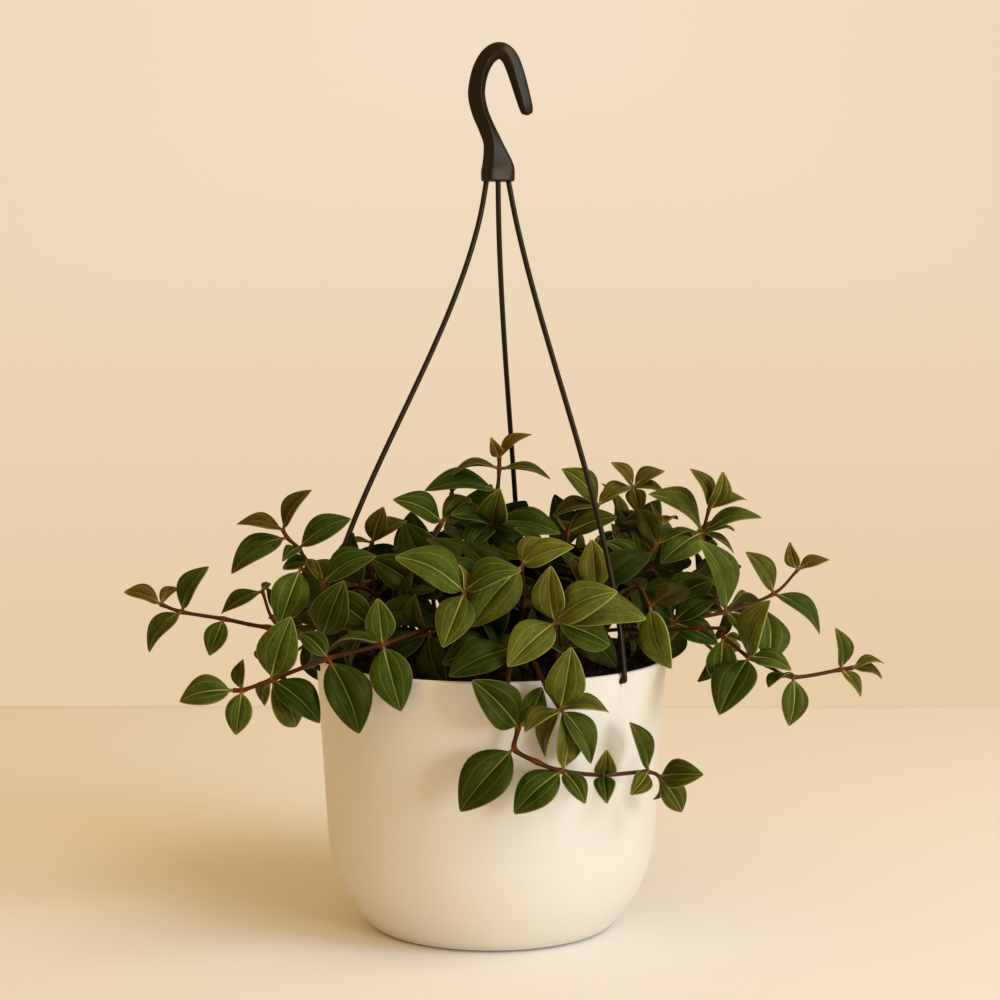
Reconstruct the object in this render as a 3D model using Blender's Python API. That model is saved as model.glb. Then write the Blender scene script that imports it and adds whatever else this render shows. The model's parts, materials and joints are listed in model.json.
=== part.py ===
"""A trailing peperomia in a round hanging pot, with the pot's three strands and hook.

Every length is in millimetres until a mesh is made. The pot stands on the floor, its axis is
the Z axis, and the front is towards -Y. A stem's nodes run from the soil to its tip. Stems are
bent apart where they meet, and each leaf is turned or drawn in until it is clear of the others.
"""
import math
import random

import bmesh
import bpy
import numpy as np
from mathutils import Matrix, Vector
from mathutils.bvhtree import BVHTree

MM = 0.001
GAP = 0.3

# Pot
POT_HEIGHT = 140.0
RIM_RADIUS = 90.5
BELLY_RADIUS = 82.0
BASE_CURVE_HEIGHT = 55.0
BASE_CURVE_DEPTH = 20.0
BASE_CURVE_POWER = 2.7
BASE_FOOT = 1.2
WALL = 2.8
FLOOR_THICKNESS = 3.5
FLOOR_CORNER = 4.0
INNER_HEIGHTS = (9.0, 20.0, 38.0, 64.0)
POT_SIDES = 44

# Soil
SOIL_TOP = 131.0
SOIL_DOME = 4.0
SOIL_BUMP = 0.8
SOIL_INSET = 0.9
SOIL_RADIUS = RIM_RADIUS - WALL - SOIL_INSET - 0.5
SOIL_SIDES = 24
ROOT_DEPTH = 12.0

# Hanger
STRAND_RADIUS = 1.5
STRAND_ROW = {"strand_left": -5.2, "strand_back": 0.0, "strand_right": 4.4}
STRAND_TOP = 388.0
STRAND_TOP_SLOPE = {"strand_left": 0.3, "strand_back": 0.0, "strand_right": 0.7}
STRAND_RIM_SLOPE = 0.25
STRAND_FOOT_HEIGHT = 136.3
STRAND_BEND = 2.2
STRAND_BEARINGS = {"strand_right": 45.0, "strand_back": 170.0, "strand_left": 285.0}
HANGER_X = 3.4

# Stems: STEM_STEP is the spacing of a route's points, and TUBE_STEP counts them between rings.
STEM_RADIUS = 1.65
STEM_TIP_RADIUS = 1.0
STEM_POINT = 1.5
STEM_STEP = 4.0
TUBE_STEP = 6
ROOT_REACH = 66.0
ROOT_LEAN = 0.7
NECK_HEIGHT = 3.0
SHORT_STEM = 3
SEED = 29

# How stems that meet are bent apart, round by round
STEM_SPACE = 6.6
RIM_SPACE = 4.0
RIM_BAND = 6.0
BEND_ROUNDS = 400
BEND_SHARE = 0.6
BEND_SPREAD = 16
SEARCH_ROUNDS = 15

# Arched stems: where the first node stands, and how far a stem swings sideways
FIRST_REACH = 52.0
FIRST_HEIGHT = 16.0
SWING = 14.0

# Leaves: lengths are by how many nodes the leaf is from the tip, ratios are width to length, and
# stations are the parts of the blade's length that have a ring of points. Nodes inside the fill
# reach and height get a leaf beyond those listed.
LEAF_LENGTHS = (20.0, 29.0, 36.0)
LENGTH_SPREAD = 0.12
PETIOLE = 0.07
BLADE_THICKNESS = 1.4
BLADE_RATIO = 0.62
YOUNG_RATIO = 0.52
YOUNG_LENGTH = 17.0
BLADE_ARCH = 0.1
BLADE_SWELL = 0.85
BLADE_FULLNESS = 0.8
BLADE_SINK = 0.5
LEAF_SPACE = 0.4
FILL_REACH = 95.0
FILL_HEIGHT = 208.0
FINE_LENGTH = 22.0
FINE_STATIONS = (0.16, 0.44, 0.76)
PLAIN_STATIONS = (0.2, 0.62)

# A stem is its name and its nodes. A node is a place and its leaves. A leaf is the vector from
# the node to its tip, then the angles by which its face turns to the right and up from the front.
FRONT_STEMS = (
    ("far_left", (
        ((-84, 4, 152), ()),
        ((-116, 0, 154), ()),
        ((-138, -5, 159), ((-7, -6, -18, 0, 35),)),
        ((-159, -8, 163), ((12, 2, 24, -38, 28), (-18, -4, -19, -29, 43))),
        ((-170, -8, 167), ((-18, -3, 7, 22, 51), (7, 12, 8, -6, 59))))),
    ("left_back", (
        ((-100, 12, 147), ()),
        ((-114, 12, 156), ()),
        ((-120, 14, 171), ((-21, -6, -11, -17, 60), (3, 8, 4, 0, 40))))),
    ("upper_left", (
        ((-77, 22, 165), ()),
        ((-96, 20, 185), ((-15, 8, -3, 0, 40),)),
        ((-101, 18, 193), ((27, 4, 16, -18, 46), (-7, -14, -4, 0, 40))),
        ((-107, 16, 199), ((-29, -8, -17, -16, 51),)),
        ((-109, 15, 203), ((-24, -2, 4, 11, 65), (14, -2, 22, -46, 35))))),
    ("left_inner", (
        ((-84, -45, 155), ((11, -8, 29, 0, 20),)),
        ((-84, -38, 181), ((26, 2, 15, 0, 50),)),
        ((-96, -30, 188), ((-10, -9, -28, 8, 15),)))),
    ("low_left", (
        ((-25, -62, 162), ()),
        ((-52, -82, 157), ((-2, -6, 23, 0, 10), (9, -8, -31, 0, 20), (-28, 8, -4, 0, 65))),
        ((-78, -88, 151), ((16, -5, -35, 24, 20), (-14, 8, 12, 0, 50), (-13, 14, -7, 0, 40))),
        ((-105, -90, 141), ((10, -4, 31, 0, 15), (24, -7, -19, 18, 43), (-5, 10, -14, -30, 20),
                            (11, 12, -25, 0, 20))),
        ((-119, -90, 136), ((-1, 9, 14, -34, 30), (-3, -3, -21, 0, 20))),
        ((-123, -90, 136), ((-26, -2, -4, 0, 35),)))),
    ("top_left", (
        ((-65, 40, 184), ()),
        ((-64, 42, 194), ((6, -2, 19, 0, 10), (20, -1, 13, 0, 55), (-15, -4, -1, 0, 80))))),
    ("mid_left", (
        ((-32, 8, 188), ((-19, -6, 7, 0, 60),)),
        ((-26, 12, 207), ((-24, -10, 14, 0, 45), (15, 14, 12, 0, 50))))),
    ("thin_mid", (
        ((-31, 20, 193), ()),
        ((-24, 24, 210), ()),
        ((-21, 26, 222), ((-1, -8, 5, 0, 60), (4, 10, 6, 0, 60))))),
    ("top_mid", (
        ((-1, 20, 187), ((16, -22, 4, 0, 50),)),
        ((0, 20, 206), ((-21, -12, 6, 0, 50), (36, -10, -3, 0, 55), (4, -18, 19, 0, 20),
                        (-11, -20, -10, 0, 50))),
        ((3, 20, 223), ((-38, -6, 1, 5, 66),)),
        ((4, 20, 235), ((-25, -3, -2, 0, 80), (27, -2, -5, 0, 80))),
        ((4, 20, 241), ((-4, -8, 10, 14, -34), (17, 4, 12, 0, 75))))),
    ("front_left", (
        ((-10, -56, 157), ()),
        ((-13, -68, 180), ((-32, -6, 20, 0, 45), (-2, 6, 14, 60, 30), (27, -4, 13, 0, 50),
                           (-10, -16, -24, 0, 25))))),
    ("front_mid", (
        ((16, -46, 172), ()),
        ((15, -58, 192), ((25, -8, 11, 0, 50), (-25, -10, -28, 0, 30), (13, 12, 15, 0, 50))))),
    ("front_right", (
        ((32, -70, 150), ()),
        ((31, -84, 168), ((28, -10, 17, 0, 40), (-23, -14, -19, 0, 35), (44, 4, 2, 0, 55),
                          (-3, -2, 27, 0, 15), (27, 14, -13, 0, 30))))),
    ("over_front", (
        ((21, -90, 149), ()),
        ((27, -95, 137), ()),
        ((33, -97, 128), ((5, -6, 30, 0, 12), (-17, -14, -8, -7, 68), (23, -4, 1, 0, 68),
                          (16, 6, -27, 50, 26), (-7, 10, -23, -60, 21))))),
    ("trailing", (
        ((10, -82, 154), ((-30, -12, -11, 0, 45),)),
        ((8, -99, 133), ()),
        ((13, -100, 119), ((-21, -12, 25, 33, 4), (5, -4, 28, -6, 2))),
        ((11, -101, 110), ((-26, -8, -28, -10, 25),)),
        ((22, -101, 103.5), ()),
        ((34, -98, 98.6), ((-23, -7, -19, -9, 30), (11, -9, -13, 11, 43), (1, -6, 27, 41, -14))),
        ((54, -90, 95.0), ((1, -11, 14, 0, -30), (1, -14, -10, 0, 52))),
        ((76, -77, 94.0), ((-9, -4, 25, 54, 21), (-10, -10, -10, 5, 41))),
        ((82, -73, 90.6), ((20, -13, 4, -34, 29), (12, 2, -18, 0, 30), (-2, 8, -13, 70, 10))))),
    ("right_high", (
        ((62, -30, 178), ()),
        ((75, -22, 188), ((-17, -2, 13, 0, 50),)),
        ((84, -14, 198), ((-8, 6, 18, 0, 40),)),
        ((87, -8, 207), ((-20, 10, 2, 0, 50),)))),
    ("right_mid", (
        ((70, -46, 179), ()),
        ((78, -62, 173), ((8, -8, -30, -42, 2), (20, 8, 7, 0, 40))))),
    ("right_top", (
        ((104, 18, 179), ((-14, -8, -7, 10, 40),)),
        ((110, 12, 202), ((-28, -10, 22, 40, 53), (-23, -16, -14, 0, 35), (30, -4, 10, -20, 71),
                          (17, 2, -11, 0, 78), (18, 14, 1, 6, 79))),
        ((113, 8, 215), ((-10, -2, 21, 50, 28), (7, -7, 19, 23, -29), (23, 3, 4, 0, 66))))),
    ("top_right", (
        ((79, 34, 196), ((-10, -14, -9, 0, 40), (9, 10, 20, 0, 45), (-14, 8, 20, 0, 45))),
        ((75, 34, 224), ((-11, -2, 14, 0, 60), (17, 5, 9, 0, 62), (15, -8, -2, 0, 66),
                         (-18, -8, -6, 0, 60), (3, -12, -13, 0, 20))))),
    ("high_mid", (
        ((40, 18, 201), ((22, 14, 8, 0, 50),)),
        ((56, 26, 215), ((-19, -4, 20, 0, 50), (-24, -4, -4, 0, 65), (13, 8, 7, 0, 60),
                         (-11, 10, -11, 0, 100))))),
    ("right", (
        ((91, -36, 161), ((22, -6, -9, 0, 35), (22, 4, 13, 0, 25), (-16, 8, 16, 0, 50))),
        ((118, -30, 166), ((-12, -6, 37, 50, 13), (20, 8, 5, 0, 100), (10, -6, -12, 0, 50),
                           (-17, 8, -4, 0, 75))),
        ((143, -22, 174), ((-14, -2, 22, 41, 29), (25, -2, -19, 31, 58))),
        ((156, -18, 186), ((-5, -4, 14, -24, 12), (17, 4, 5, -10, 66))))),
    ("right_low", (
        ((103, -54, 161), ()),
        ((114, -58, 157), ((-1, 1, -25, 0, 15), (12, 4, -4, 0, 50))),
        ((127, -58, 147), ((-18, -15, -27, -13, 37), (20, -7, -4, 0, 50), (3, -10, 33, -62, 4))),
        ((136, -57, 143), ((1, 15, 29, 25, 30),)),
        ((149, -56, 137), ((-2, -3, -24, 21, 5), (-18, -10, -3, 0, 95))),
        ((173, -52, 140), ((-2, -2, 21, 43, 0), (10, -2, -13, 30, 35))),
        ((179, -52, 141), ((15, 1, -5, 17, 53), (15, 4, 3, 0, 70))))),
    ("centre_right", (
        ((52, -44, 178), ((-2, -2, 26, 0, 15), (-12, 6, 17, 0, 40), (28, 12, 19, 0, 60))),)),
)

# A stem round the back or in the crown is its name, the bearing in degrees that it leaves by,
# how far out it reaches, how high it arches, the height of its tip and its number of nodes.
OTHER_STEMS = (
    ("back_right", 100, 128, 184, 160, 4),
    ("back_right_low", 120, 134, 165, 132, 4),
    ("back_right_high", 127, 118, 200, 192, 4),
    ("back_outer", 142, 168, 180, 140, 5),
    ("back_mid_high", 152, 98, 186, 182, 4),
    ("back_trailing", 165, 132, 165, 70, 6),
    ("back_mid", 180, 158, 185, 150, 5),
    ("back_crown", 192, 84, 190, 184, 4),
    ("back_left_outer", 203, 170, 175, 128, 5),
    ("back_left_high", 214, 116, 174, 164, 4),
    ("back_left_low", 226, 132, 160, 126, 4),
    ("back_left", 243, 106, 172, 158, 4),
    ("side_left", 262, 102, 162, 146, 3),
    ("side_right", 84, 92, 174, 168, 3),
    ("crown_front", 22, 32, 172, 170, 2),
    ("crown_front_low", 355, 64, 156, 152, 2),
    ("crown_front_left", 328, 62, 164, 158, 2),
    ("crown_front_right", 28, 58, 162, 158, 2),
    ("crown_left", 282, 40, 178, 176, 2),
    ("crown_far_left", 300, 72, 168, 160, 2),
    ("crown_right", 92, 42, 182, 180, 2),
    ("crown_back", 180, 34, 190, 188, 3),
    ("crown_back_left", 245, 58, 180, 176, 2),
    ("crown_back_right", 130, 62, 182, 178, 2),
    ("crown_low_right", 66, 72, 164, 158, 2),
    ("crown_mid", 345, 40, 182, 178, 2),
)


def clear_scene():
    """Remove every object that the opened file holds."""
    for obj in list(bpy.data.objects):
        bpy.data.objects.remove(obj, do_unlink=True)


def material(name, colour, roughness):
    """Return a plain material of a linear colour and a roughness."""
    made = bpy.data.materials.new(name)
    made.use_nodes = True
    shader = made.node_tree.nodes["Principled BSDF"]
    shader.inputs["Base Color"].default_value = (*colour, 1.0)
    shader.inputs["Roughness"].default_value = roughness
    made.diffuse_color = (*colour, 1.0)
    return made


def mesh_object(name, vertices, faces, surface=None):
    """Make an object from vertices in millimetres and its faces."""
    mesh = bpy.data.meshes.new(name)
    mesh.from_pydata([Vector(v) * MM for v in vertices], [], faces)
    mesh.update()
    made = bpy.data.objects.new(name, mesh)
    bpy.context.scene.collection.objects.link(made)
    if surface:
        mesh.materials.append(surface)
    return made


def shade_round(made, angle=40.0):
    """Shade an object smooth but for the edges sharper than an angle."""
    made.data.shade_smooth()
    made.data.set_sharp_from_angle(angle=math.radians(angle))


def bearing(degrees):
    """Return the plan direction of a bearing: 0 is the front, 90 the right."""
    turn = math.radians(degrees)
    return Vector((math.sin(turn), -math.cos(turn)))


def turned(name, profile, sides, surface):
    """Turn a profile of radius and height, which runs down the outside and back up the inside."""
    vertices = []
    rings = []
    for radius, height in profile:
        if radius == 0.0:
            rings.append([len(vertices)] * sides)
            vertices.append((0.0, 0.0, height))
            continue
        rings.append([len(vertices) + k for k in range(sides)])
        for k in range(sides):
            turn = 2.0 * math.pi * k / sides
            vertices.append((radius * math.cos(turn), radius * math.sin(turn), height))
    faces = []
    for upper, lower in zip(rings, rings[1:]):
        for k in range(sides):
            after = (k + 1) % sides
            face = [upper[k], lower[k], lower[after], upper[after]]
            face = list(dict.fromkeys(face))
            if len(face) > 2:
                faces.append(face)
    return mesh_object(name, vertices, faces, surface)


def pot_radius(height):
    """Return the pot's outer radius at a height."""
    sag = max(0.0, 1.0 - height / BASE_CURVE_HEIGHT) ** BASE_CURVE_POWER
    slope = (RIM_RADIUS - BELLY_RADIUS) / POT_HEIGHT
    return BELLY_RADIUS + slope * height - BASE_CURVE_DEPTH * sag


def inner_radius(height):
    """Return the radius inside the pot at a height, with a rounded corner at the floor."""
    corner = FLOOR_CORNER * max(0.0, 1.0 - (height - FLOOR_THICKNESS) / FLOOR_CORNER)
    return pot_radius(height) - WALL - corner


def cylinder_between(name, start, end, radius, sides):
    """Make a closed cylinder between two places."""
    axis = end - start
    turn = axis.to_track_quat("Z", "Y").to_matrix()
    vertices = []
    for centre in (start, end):
        for k in range(sides):
            angle = 2.0 * math.pi * (k + 0.5) / sides
            vertices.append(centre + turn @ Vector((math.cos(angle), math.sin(angle), 0.0)) * radius)
    faces = [[k, (k + 1) % sides, sides + (k + 1) % sides, sides + k] for k in range(sides)]
    faces.append(list(range(sides))[::-1])
    faces.append([sides + k for k in range(sides)])
    return mesh_object(name, vertices, faces)


def cut_away(target, cutters, solver):
    """Cut a list of closed objects out of a target, then remove them."""
    group = bpy.data.collections.new(target.name + "_cutters")
    bpy.context.scene.collection.children.link(group)
    for cutter in cutters:
        bpy.context.scene.collection.objects.unlink(cutter)
        group.objects.link(cutter)
    join_collection(target, group, "DIFFERENCE", solver)


def join_collection(target, group, operation, solver):
    """Apply one Boolean of a collection to a target, then remove the collection's objects."""
    boolean = target.modifiers.new(operation.lower(), "BOOLEAN")
    boolean.operation = operation
    boolean.operand_type = "COLLECTION"
    boolean.collection = group
    boolean.solver = solver
    graph = bpy.context.evaluated_depsgraph_get()
    joined = bpy.data.meshes.new_from_object(target.evaluated_get(graph))
    target.modifiers.clear()
    target.data = joined
    for member in list(group.objects):
        bpy.data.objects.remove(member, do_unlink=True)
    bpy.data.collections.remove(group)


def build_pot(surface):
    """Make the pot: a thin shell with a rounded rim and three holes for the strands' feet."""
    outer_heights = (60.0, 42.0, 28.0, 16.0, 7.0, BASE_FOOT)
    profile = [(RIM_RADIUS - 0.5 * WALL, POT_HEIGHT), (RIM_RADIUS - 0.4, POT_HEIGHT - 0.35)]
    profile += [(RIM_RADIUS, POT_HEIGHT - 1.2)]
    profile += [(pot_radius(z), z) for z in outer_heights]
    profile += [(pot_radius(0.0) - 0.6, 0.0), (0.0, 0.0)]
    profile += [(0.0, FLOOR_THICKNESS), (inner_radius(FLOOR_THICKNESS), FLOOR_THICKNESS)]
    profile += [(inner_radius(z), z) for z in INNER_HEIGHTS]
    profile += [(RIM_RADIUS - WALL, POT_HEIGHT - 1.0), (RIM_RADIUS - WALL + 0.5, POT_HEIGHT - 0.3)]
    profile.append(profile[0])
    pot = turned("pot", profile, POT_SIDES, surface)
    weld(pot)
    cutters = []
    for name, degrees in STRAND_BEARINGS.items():
        out = bearing(degrees).to_3d()
        foot = Vector((0.0, 0.0, STRAND_FOOT_HEIGHT))
        start = out * (RIM_RADIUS - 8.0) + foot
        end = out * (RIM_RADIUS + 6.0) + foot
        cutters.append(cylinder_between(name + "_hole", start, end, STRAND_RADIUS + 0.45, 12))
    cut_away(pot, cutters, "EXACT")
    shade_round(pot)
    return pot


def weld(target):
    """Merge vertices that lie on one another."""
    work = bmesh.new()
    work.from_mesh(target.data)
    bmesh.ops.remove_doubles(work, verts=work.verts, dist=0.000001)
    bmesh.ops.recalc_face_normals(work, faces=work.faces)
    work.to_mesh(target.data)
    work.free()


def soil_height(x, y):
    """Return the height of the soil's uneven, slightly domed top."""
    reach = math.hypot(x, y) / SOIL_RADIUS
    bumps = math.sin(0.16 * x + 1.0) * math.cos(0.13 * y) + 0.6 * math.sin(0.31 * y - 0.22 * x)
    return SOIL_TOP + SOIL_DOME * (1.0 - reach * reach) + SOIL_BUMP * bumps


def build_soil(surface, roots):
    """Make the soil: it fills the pot and has a plain hole for each stem."""
    profile = [(SOIL_RADIUS * k / 3.0, SOIL_TOP) for k in range(4)]
    for z in reversed(INNER_HEIGHTS):
        profile.append((inner_radius(z) - SOIL_INSET, z))
    profile.append((inner_radius(FLOOR_THICKNESS) - SOIL_INSET, FLOOR_THICKNESS + GAP))
    profile.append((0.0, FLOOR_THICKNESS + GAP))
    soil = turned("soil", profile, SOIL_SIDES, surface)
    weld(soil)
    for vertex in soil.data.vertices:
        if vertex.co.z > (SOIL_TOP - 1.0) * MM:
            vertex.co.z = soil_height(vertex.co.x / MM, vertex.co.y / MM) * MM
    cutters = []
    for k, (x, y) in enumerate(roots):
        start = Vector((x, y, SOIL_TOP - ROOT_DEPTH - GAP))
        end = Vector((x, y, SOIL_TOP + 20.0))
        cutters.append(cylinder_between("hole_%d" % k, start, end, STEM_RADIUS + 0.8, 5))
    cut_away(soil, cutters, "EXACT")
    return soil


def strand_spread(part, top_slope):
    """Return how far out a strand has spread at a part of its drop: slow, quick, then slow."""
    start = part ** 3 - 2.0 * part ** 2 + part
    middle = 3.0 * part ** 2 - 2.0 * part ** 3
    end = part ** 3 - part ** 2
    return top_slope * start + middle + STRAND_RIM_SLOPE * end


def strand_route(name):
    """Return a strand's points from inside the hook's base to its foot inside the pot wall."""
    out = bearing(STRAND_BEARINGS[name])
    low = RIM_RADIUS + STRAND_RADIUS + GAP
    bend_top = STRAND_FOOT_HEIGHT + STRAND_BEND
    points = []
    steps = 11
    for k in range(steps + 1):
        part = k / steps
        spread = strand_spread(part, STRAND_TOP_SLOPE[name])
        plan = Vector((HANGER_X + STRAND_ROW[name], 0.0)) * (1.0 - spread) + out * low * spread
        points.append(Vector((plan.x, plan.y, STRAND_TOP - (STRAND_TOP - bend_top) * part)))
    for k in range(1, 4):
        turn = 0.5 * math.pi * k / 3.0
        plan = out * (low - STRAND_BEND * (1.0 - math.cos(turn)))
        points.append(Vector((plan.x, plan.y, bend_top - STRAND_BEND * math.sin(turn))))
    plan = out * (RIM_RADIUS - WALL - 1.6)
    points.append(Vector((plan.x, plan.y, STRAND_FOOT_HEIGHT)))
    return points


def build_strand(name, surface):
    """Make one strand: a stiff moulded rod with its foot turned in through the pot wall."""
    curve = bpy.data.curves.new(name, "CURVE")
    curve.dimensions = "3D"
    curve.bevel_depth = STRAND_RADIUS * MM
    curve.bevel_resolution = 2
    curve.use_fill_caps = True
    spline = curve.splines.new("POLY")
    route = strand_route(name)
    spline.points.add(len(route) - 1)
    for point, place in zip(spline.points, route):
        point.co = (*(place * MM), 1.0)
    strand = bpy.data.objects.new(name, curve)
    bpy.context.scene.collection.objects.link(strand)
    curve.materials.append(surface)
    return strand


# Each station along the hook: place in X and Z, half width, half depth, and where the front
# ridge stands across the width.
HOOK_STATIONS = (
    (3.3, 383.0, 8.5, 7.2, -0.40), (3.3, 388.6, 8.6, 7.0, -0.38), (2.8, 392.8, 7.6, 6.2, -0.30),
    (1.6, 398.7, 5.8, 5.2, -0.10), (0.1, 404.2, 4.6, 4.6, 0.15), (-2.9, 411.2, 4.2, 4.2, 0.40),
    (-5.8, 418.3, 4.3, 4.2, 0.48), (-7.5, 426.4, 4.4, 4.2, 0.50), (-6.8, 433.9, 4.3, 4.2, 0.45),
    (-4.9, 440.2, 4.3, 4.2, 0.38), (-1.9, 445.4, 4.3, 4.2, 0.25), (1.9, 448.4, 4.3, 4.2, 0.10),
    (5.6, 448.6, 4.3, 4.2, 0.05), (8.8, 446.0, 4.3, 4.2, 0.08), (11.0, 441.8, 4.3, 4.2, 0.14),
    (13.3, 435.2, 4.2, 4.2, 0.20), (15.1, 429.1, 4.0, 4.0, 0.22), (16.9, 422.8, 3.7, 3.8, 0.22),
    (17.8, 419.6, 3.4, 3.4, 0.22), (18.3, 417.6, 2.8, 2.7, 0.22), (18.5, 416.4, 1.6, 1.6, 0.22),
)
RIDGE_FLAT = 0.09


def hook_section(half_width, half_depth, ridge):
    """Return the eight points of the hook's section: flat sides, and a blunt ridge each way."""
    shape = [(-1.0, 0.40), (-1.0, -0.36), (ridge - RIDGE_FLAT, -0.98), (ridge + RIDGE_FLAT, -0.98),
             (1.0, -0.40), (1.0, 0.36), (RIDGE_FLAT - ridge, 0.98), (-RIDGE_FLAT - ridge, 0.98)]
    return [(x * half_width, y * half_depth) for x, y in shape]


def build_hook(surface):
    """Make the hook: a bar with a fan-shaped base, bent over into an open crook."""
    vertices = []
    count = len(HOOK_STATIONS)
    for k, (x, z, half_width, half_depth, ridge) in enumerate(HOOK_STATIONS):
        before = HOOK_STATIONS[max(k - 1, 0)]
        after = HOOK_STATIONS[min(k + 1, count - 1)]
        run = Vector((after[0] - before[0], after[1] - before[1])).normalized()
        if k == 0:
            run = Vector((0.0, 1.0))
        across = Vector((run.y, -run.x))
        for side, depth in hook_section(half_width, half_depth, ridge):
            vertices.append((x + across.x * side, depth, z + across.y * side))
    faces = [list(range(8))[::-1]]
    for k in range(count - 1):
        for j in range(8):
            a = 8 * k + j
            b = 8 * k + (j + 1) % 8
            faces.append([a, b, b + 8, a + 8])
    faces.append([8 * (count - 1) + j for j in range(8)])
    hook = mesh_object("hook", vertices, faces, surface)
    weld(hook)
    cutters = []
    for name in STRAND_BEARINGS:
        route = strand_route(name)
        lean = (route[0] - route[1]).normalized()
        end = route[0] + lean * GAP
        start = route[0] - lean * 12.0
        cutters.append(cylinder_between(name + "_seat", start, end, STRAND_RADIUS + 0.4, 12))
    cut_away(hook, cutters, "EXACT")
    shade_round(hook, 25.0)
    return hook


def root_places(count, reach):
    """Return evenly spread places for the stems' roots, in a sunflower's order."""
    golden = math.radians(137.508)
    places = []
    for k in range(count):
        radius = reach * math.sqrt((k + 0.5) / count)
        places.append((radius * math.cos(golden * k), radius * math.sin(golden * k)))
    return places


def arched_stem(draw, degrees, reach, top, tip, nodes):
    """Return the node places of a stem that arches up and out from the soil, then droops."""
    low = SOIL_TOP + FIRST_HEIGHT
    start = min(0.5 * reach, FIRST_REACH)
    swing = draw.uniform(-SWING, SWING)
    places = []
    for k in range(nodes):
        part = (k + 0.6) / (nodes - 0.4)
        plan = bearing(degrees + swing * part * part) * (start + (reach - start) * part)
        rise = low + (top - low) * math.sin(0.5 * math.pi * min(1.0, part * 1.9))
        fall = (top - tip) * max(0.0, (part - 0.4) / 0.6) ** 1.5
        places.append(Vector((plan.x, plan.y, rise - fall)))
    return places


def smooth_route(foot, places):
    """Return points straight up from the foot, then on a smooth curve through places."""
    steps = round((places[0] - foot).length / STEM_STEP)
    points = [foot.lerp(places[0], k / steps) for k in range(steps)]
    marks = []
    ends = [foot] + list(places) + [2.0 * places[-1] - places[-2]]
    for k in range(1, len(ends) - 2):
        a, b, c, d = ends[k - 1:k + 3]
        steps = max(1, round((c - b).length / STEM_STEP))
        marks.append(len(points))
        for j in range(steps):
            t = j / steps
            points.append(0.5 * (2.0 * b + (c - a) * t + (2.0 * a - 5.0 * b + 4.0 * c - d) * t * t
                                 + (3.0 * b - a - 3.0 * c + d) * t * t * t))
    marks.append(len(points))
    points.append(places[-1])
    return points, marks


class Stem:
    """One leafy stem: its route, the places of its nodes along it, and its leaves."""

    def __init__(self, name, root, nodes, by_rule):
        self.name = name
        self.root = root
        self.by_rule = by_rule
        self.leaf_lists = [leaves for _, leaves in nodes]
        foot = Vector((root[0], root[1], SOIL_TOP - ROOT_DEPTH))
        neck = Vector((root[0], root[1], SOIL_TOP + SOIL_DOME + NECK_HEIGHT))
        self.points, marks = smooth_route(foot, [neck] + [Vector(place) for place, _ in nodes])
        self.fixed = marks[0] + 1
        self.marks = marks[1:]
        self.leaves = []


class Leaf:
    """One blade on its stalk: a place, an axis, a face direction, a length and a width."""

    def __init__(self, base, axis, normal, length, width, age):
        self.base = base
        self.axis = axis.normalized()
        side = normal.cross(self.axis)
        if side.length < 0.05:
            side = Vector((0.0, 0.0, 1.0)).cross(self.axis)
        self.side = side.normalized()
        self.normal = self.axis.cross(self.side)
        self.length = length
        self.width = width
        self.age = age

    def varied(self, lift, swing, roll, scale):
        """Return this leaf swung to the back, to one side and about its axis, and scaled."""
        away = Vector((0.0, 1.0, 0.0))
        hinge = self.axis.cross(away)
        if hinge.length < 0.1:
            hinge = self.side
        turn = Matrix.Rotation(math.radians(lift), 3, hinge.normalized())
        turn = Matrix.Rotation(math.radians(swing), 3, self.normal) @ turn
        axis = turn @ self.axis
        normal = Matrix.Rotation(math.radians(roll), 3, axis) @ (turn @ self.normal)
        return Leaf(self.base, axis, normal, self.length * scale, self.width * scale, self.age)


def blade_half_width(part):
    """Return the half width at a part of the blade's length, as a share of the whole width."""
    return 0.5 * math.sin(math.pi * part ** BLADE_SWELL) ** BLADE_FULLNESS


def leaf_section(half, thick, grow):
    """Return the three points across a blade, or the five round them that leave room to spare."""
    if grow == 0.0:
        return [(half, thick), (-half, thick), (0.0, -thick)]
    half += grow
    return [(half, thick + grow), (-half, thick + grow), (-half, thick - grow),
            (0.0, -thick - grow), (half, thick - grow)]


def leaf_mesh(leaf, stations, grow=0.0, with_stalk=True):
    """Return a leaf's vertices and triangles: a thin lens along an arched, cupped midrib."""
    vertices = []
    rows = []
    for part in stations:
        half = blade_half_width(part) * leaf.width
        rows.append((PETIOLE + (1.0 - PETIOLE) * part, half, 0.5 * BLADE_THICKNESS))

    def spine(along):
        rise = 4.0 * BLADE_ARCH * leaf.length * along * (1.0 - along)
        return leaf.base + leaf.axis * leaf.length * along + leaf.normal * rise

    vertices.append(leaf.base - leaf.axis * BLADE_SINK if with_stalk else spine(PETIOLE + 0.03))
    for along, half, thick in rows:
        section = leaf_section(half, thick, grow)
        vertices += [spine(along) + leaf.side * x + leaf.normal * y for x, y in section]
    vertices.append(leaf.base + leaf.axis * (leaf.length + grow))
    sides = len(section)
    last = len(vertices) - 1
    faces = []
    for j in range(sides):
        after = (j + 1) % sides
        faces.append((0, 1 + after, 1 + j))
        faces.append((last - sides + j, last - sides + after, last))
        for ring in range(1, last - sides, sides):
            a, b = ring + j, ring + after
            if j < sides - 1:
                faces += [(a, b, b + sides), (a, b + sides, a + sides)]
            else:
                faces += [(a, b, a + sides), (b, b + sides, a + sides)]
    return vertices, faces


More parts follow.
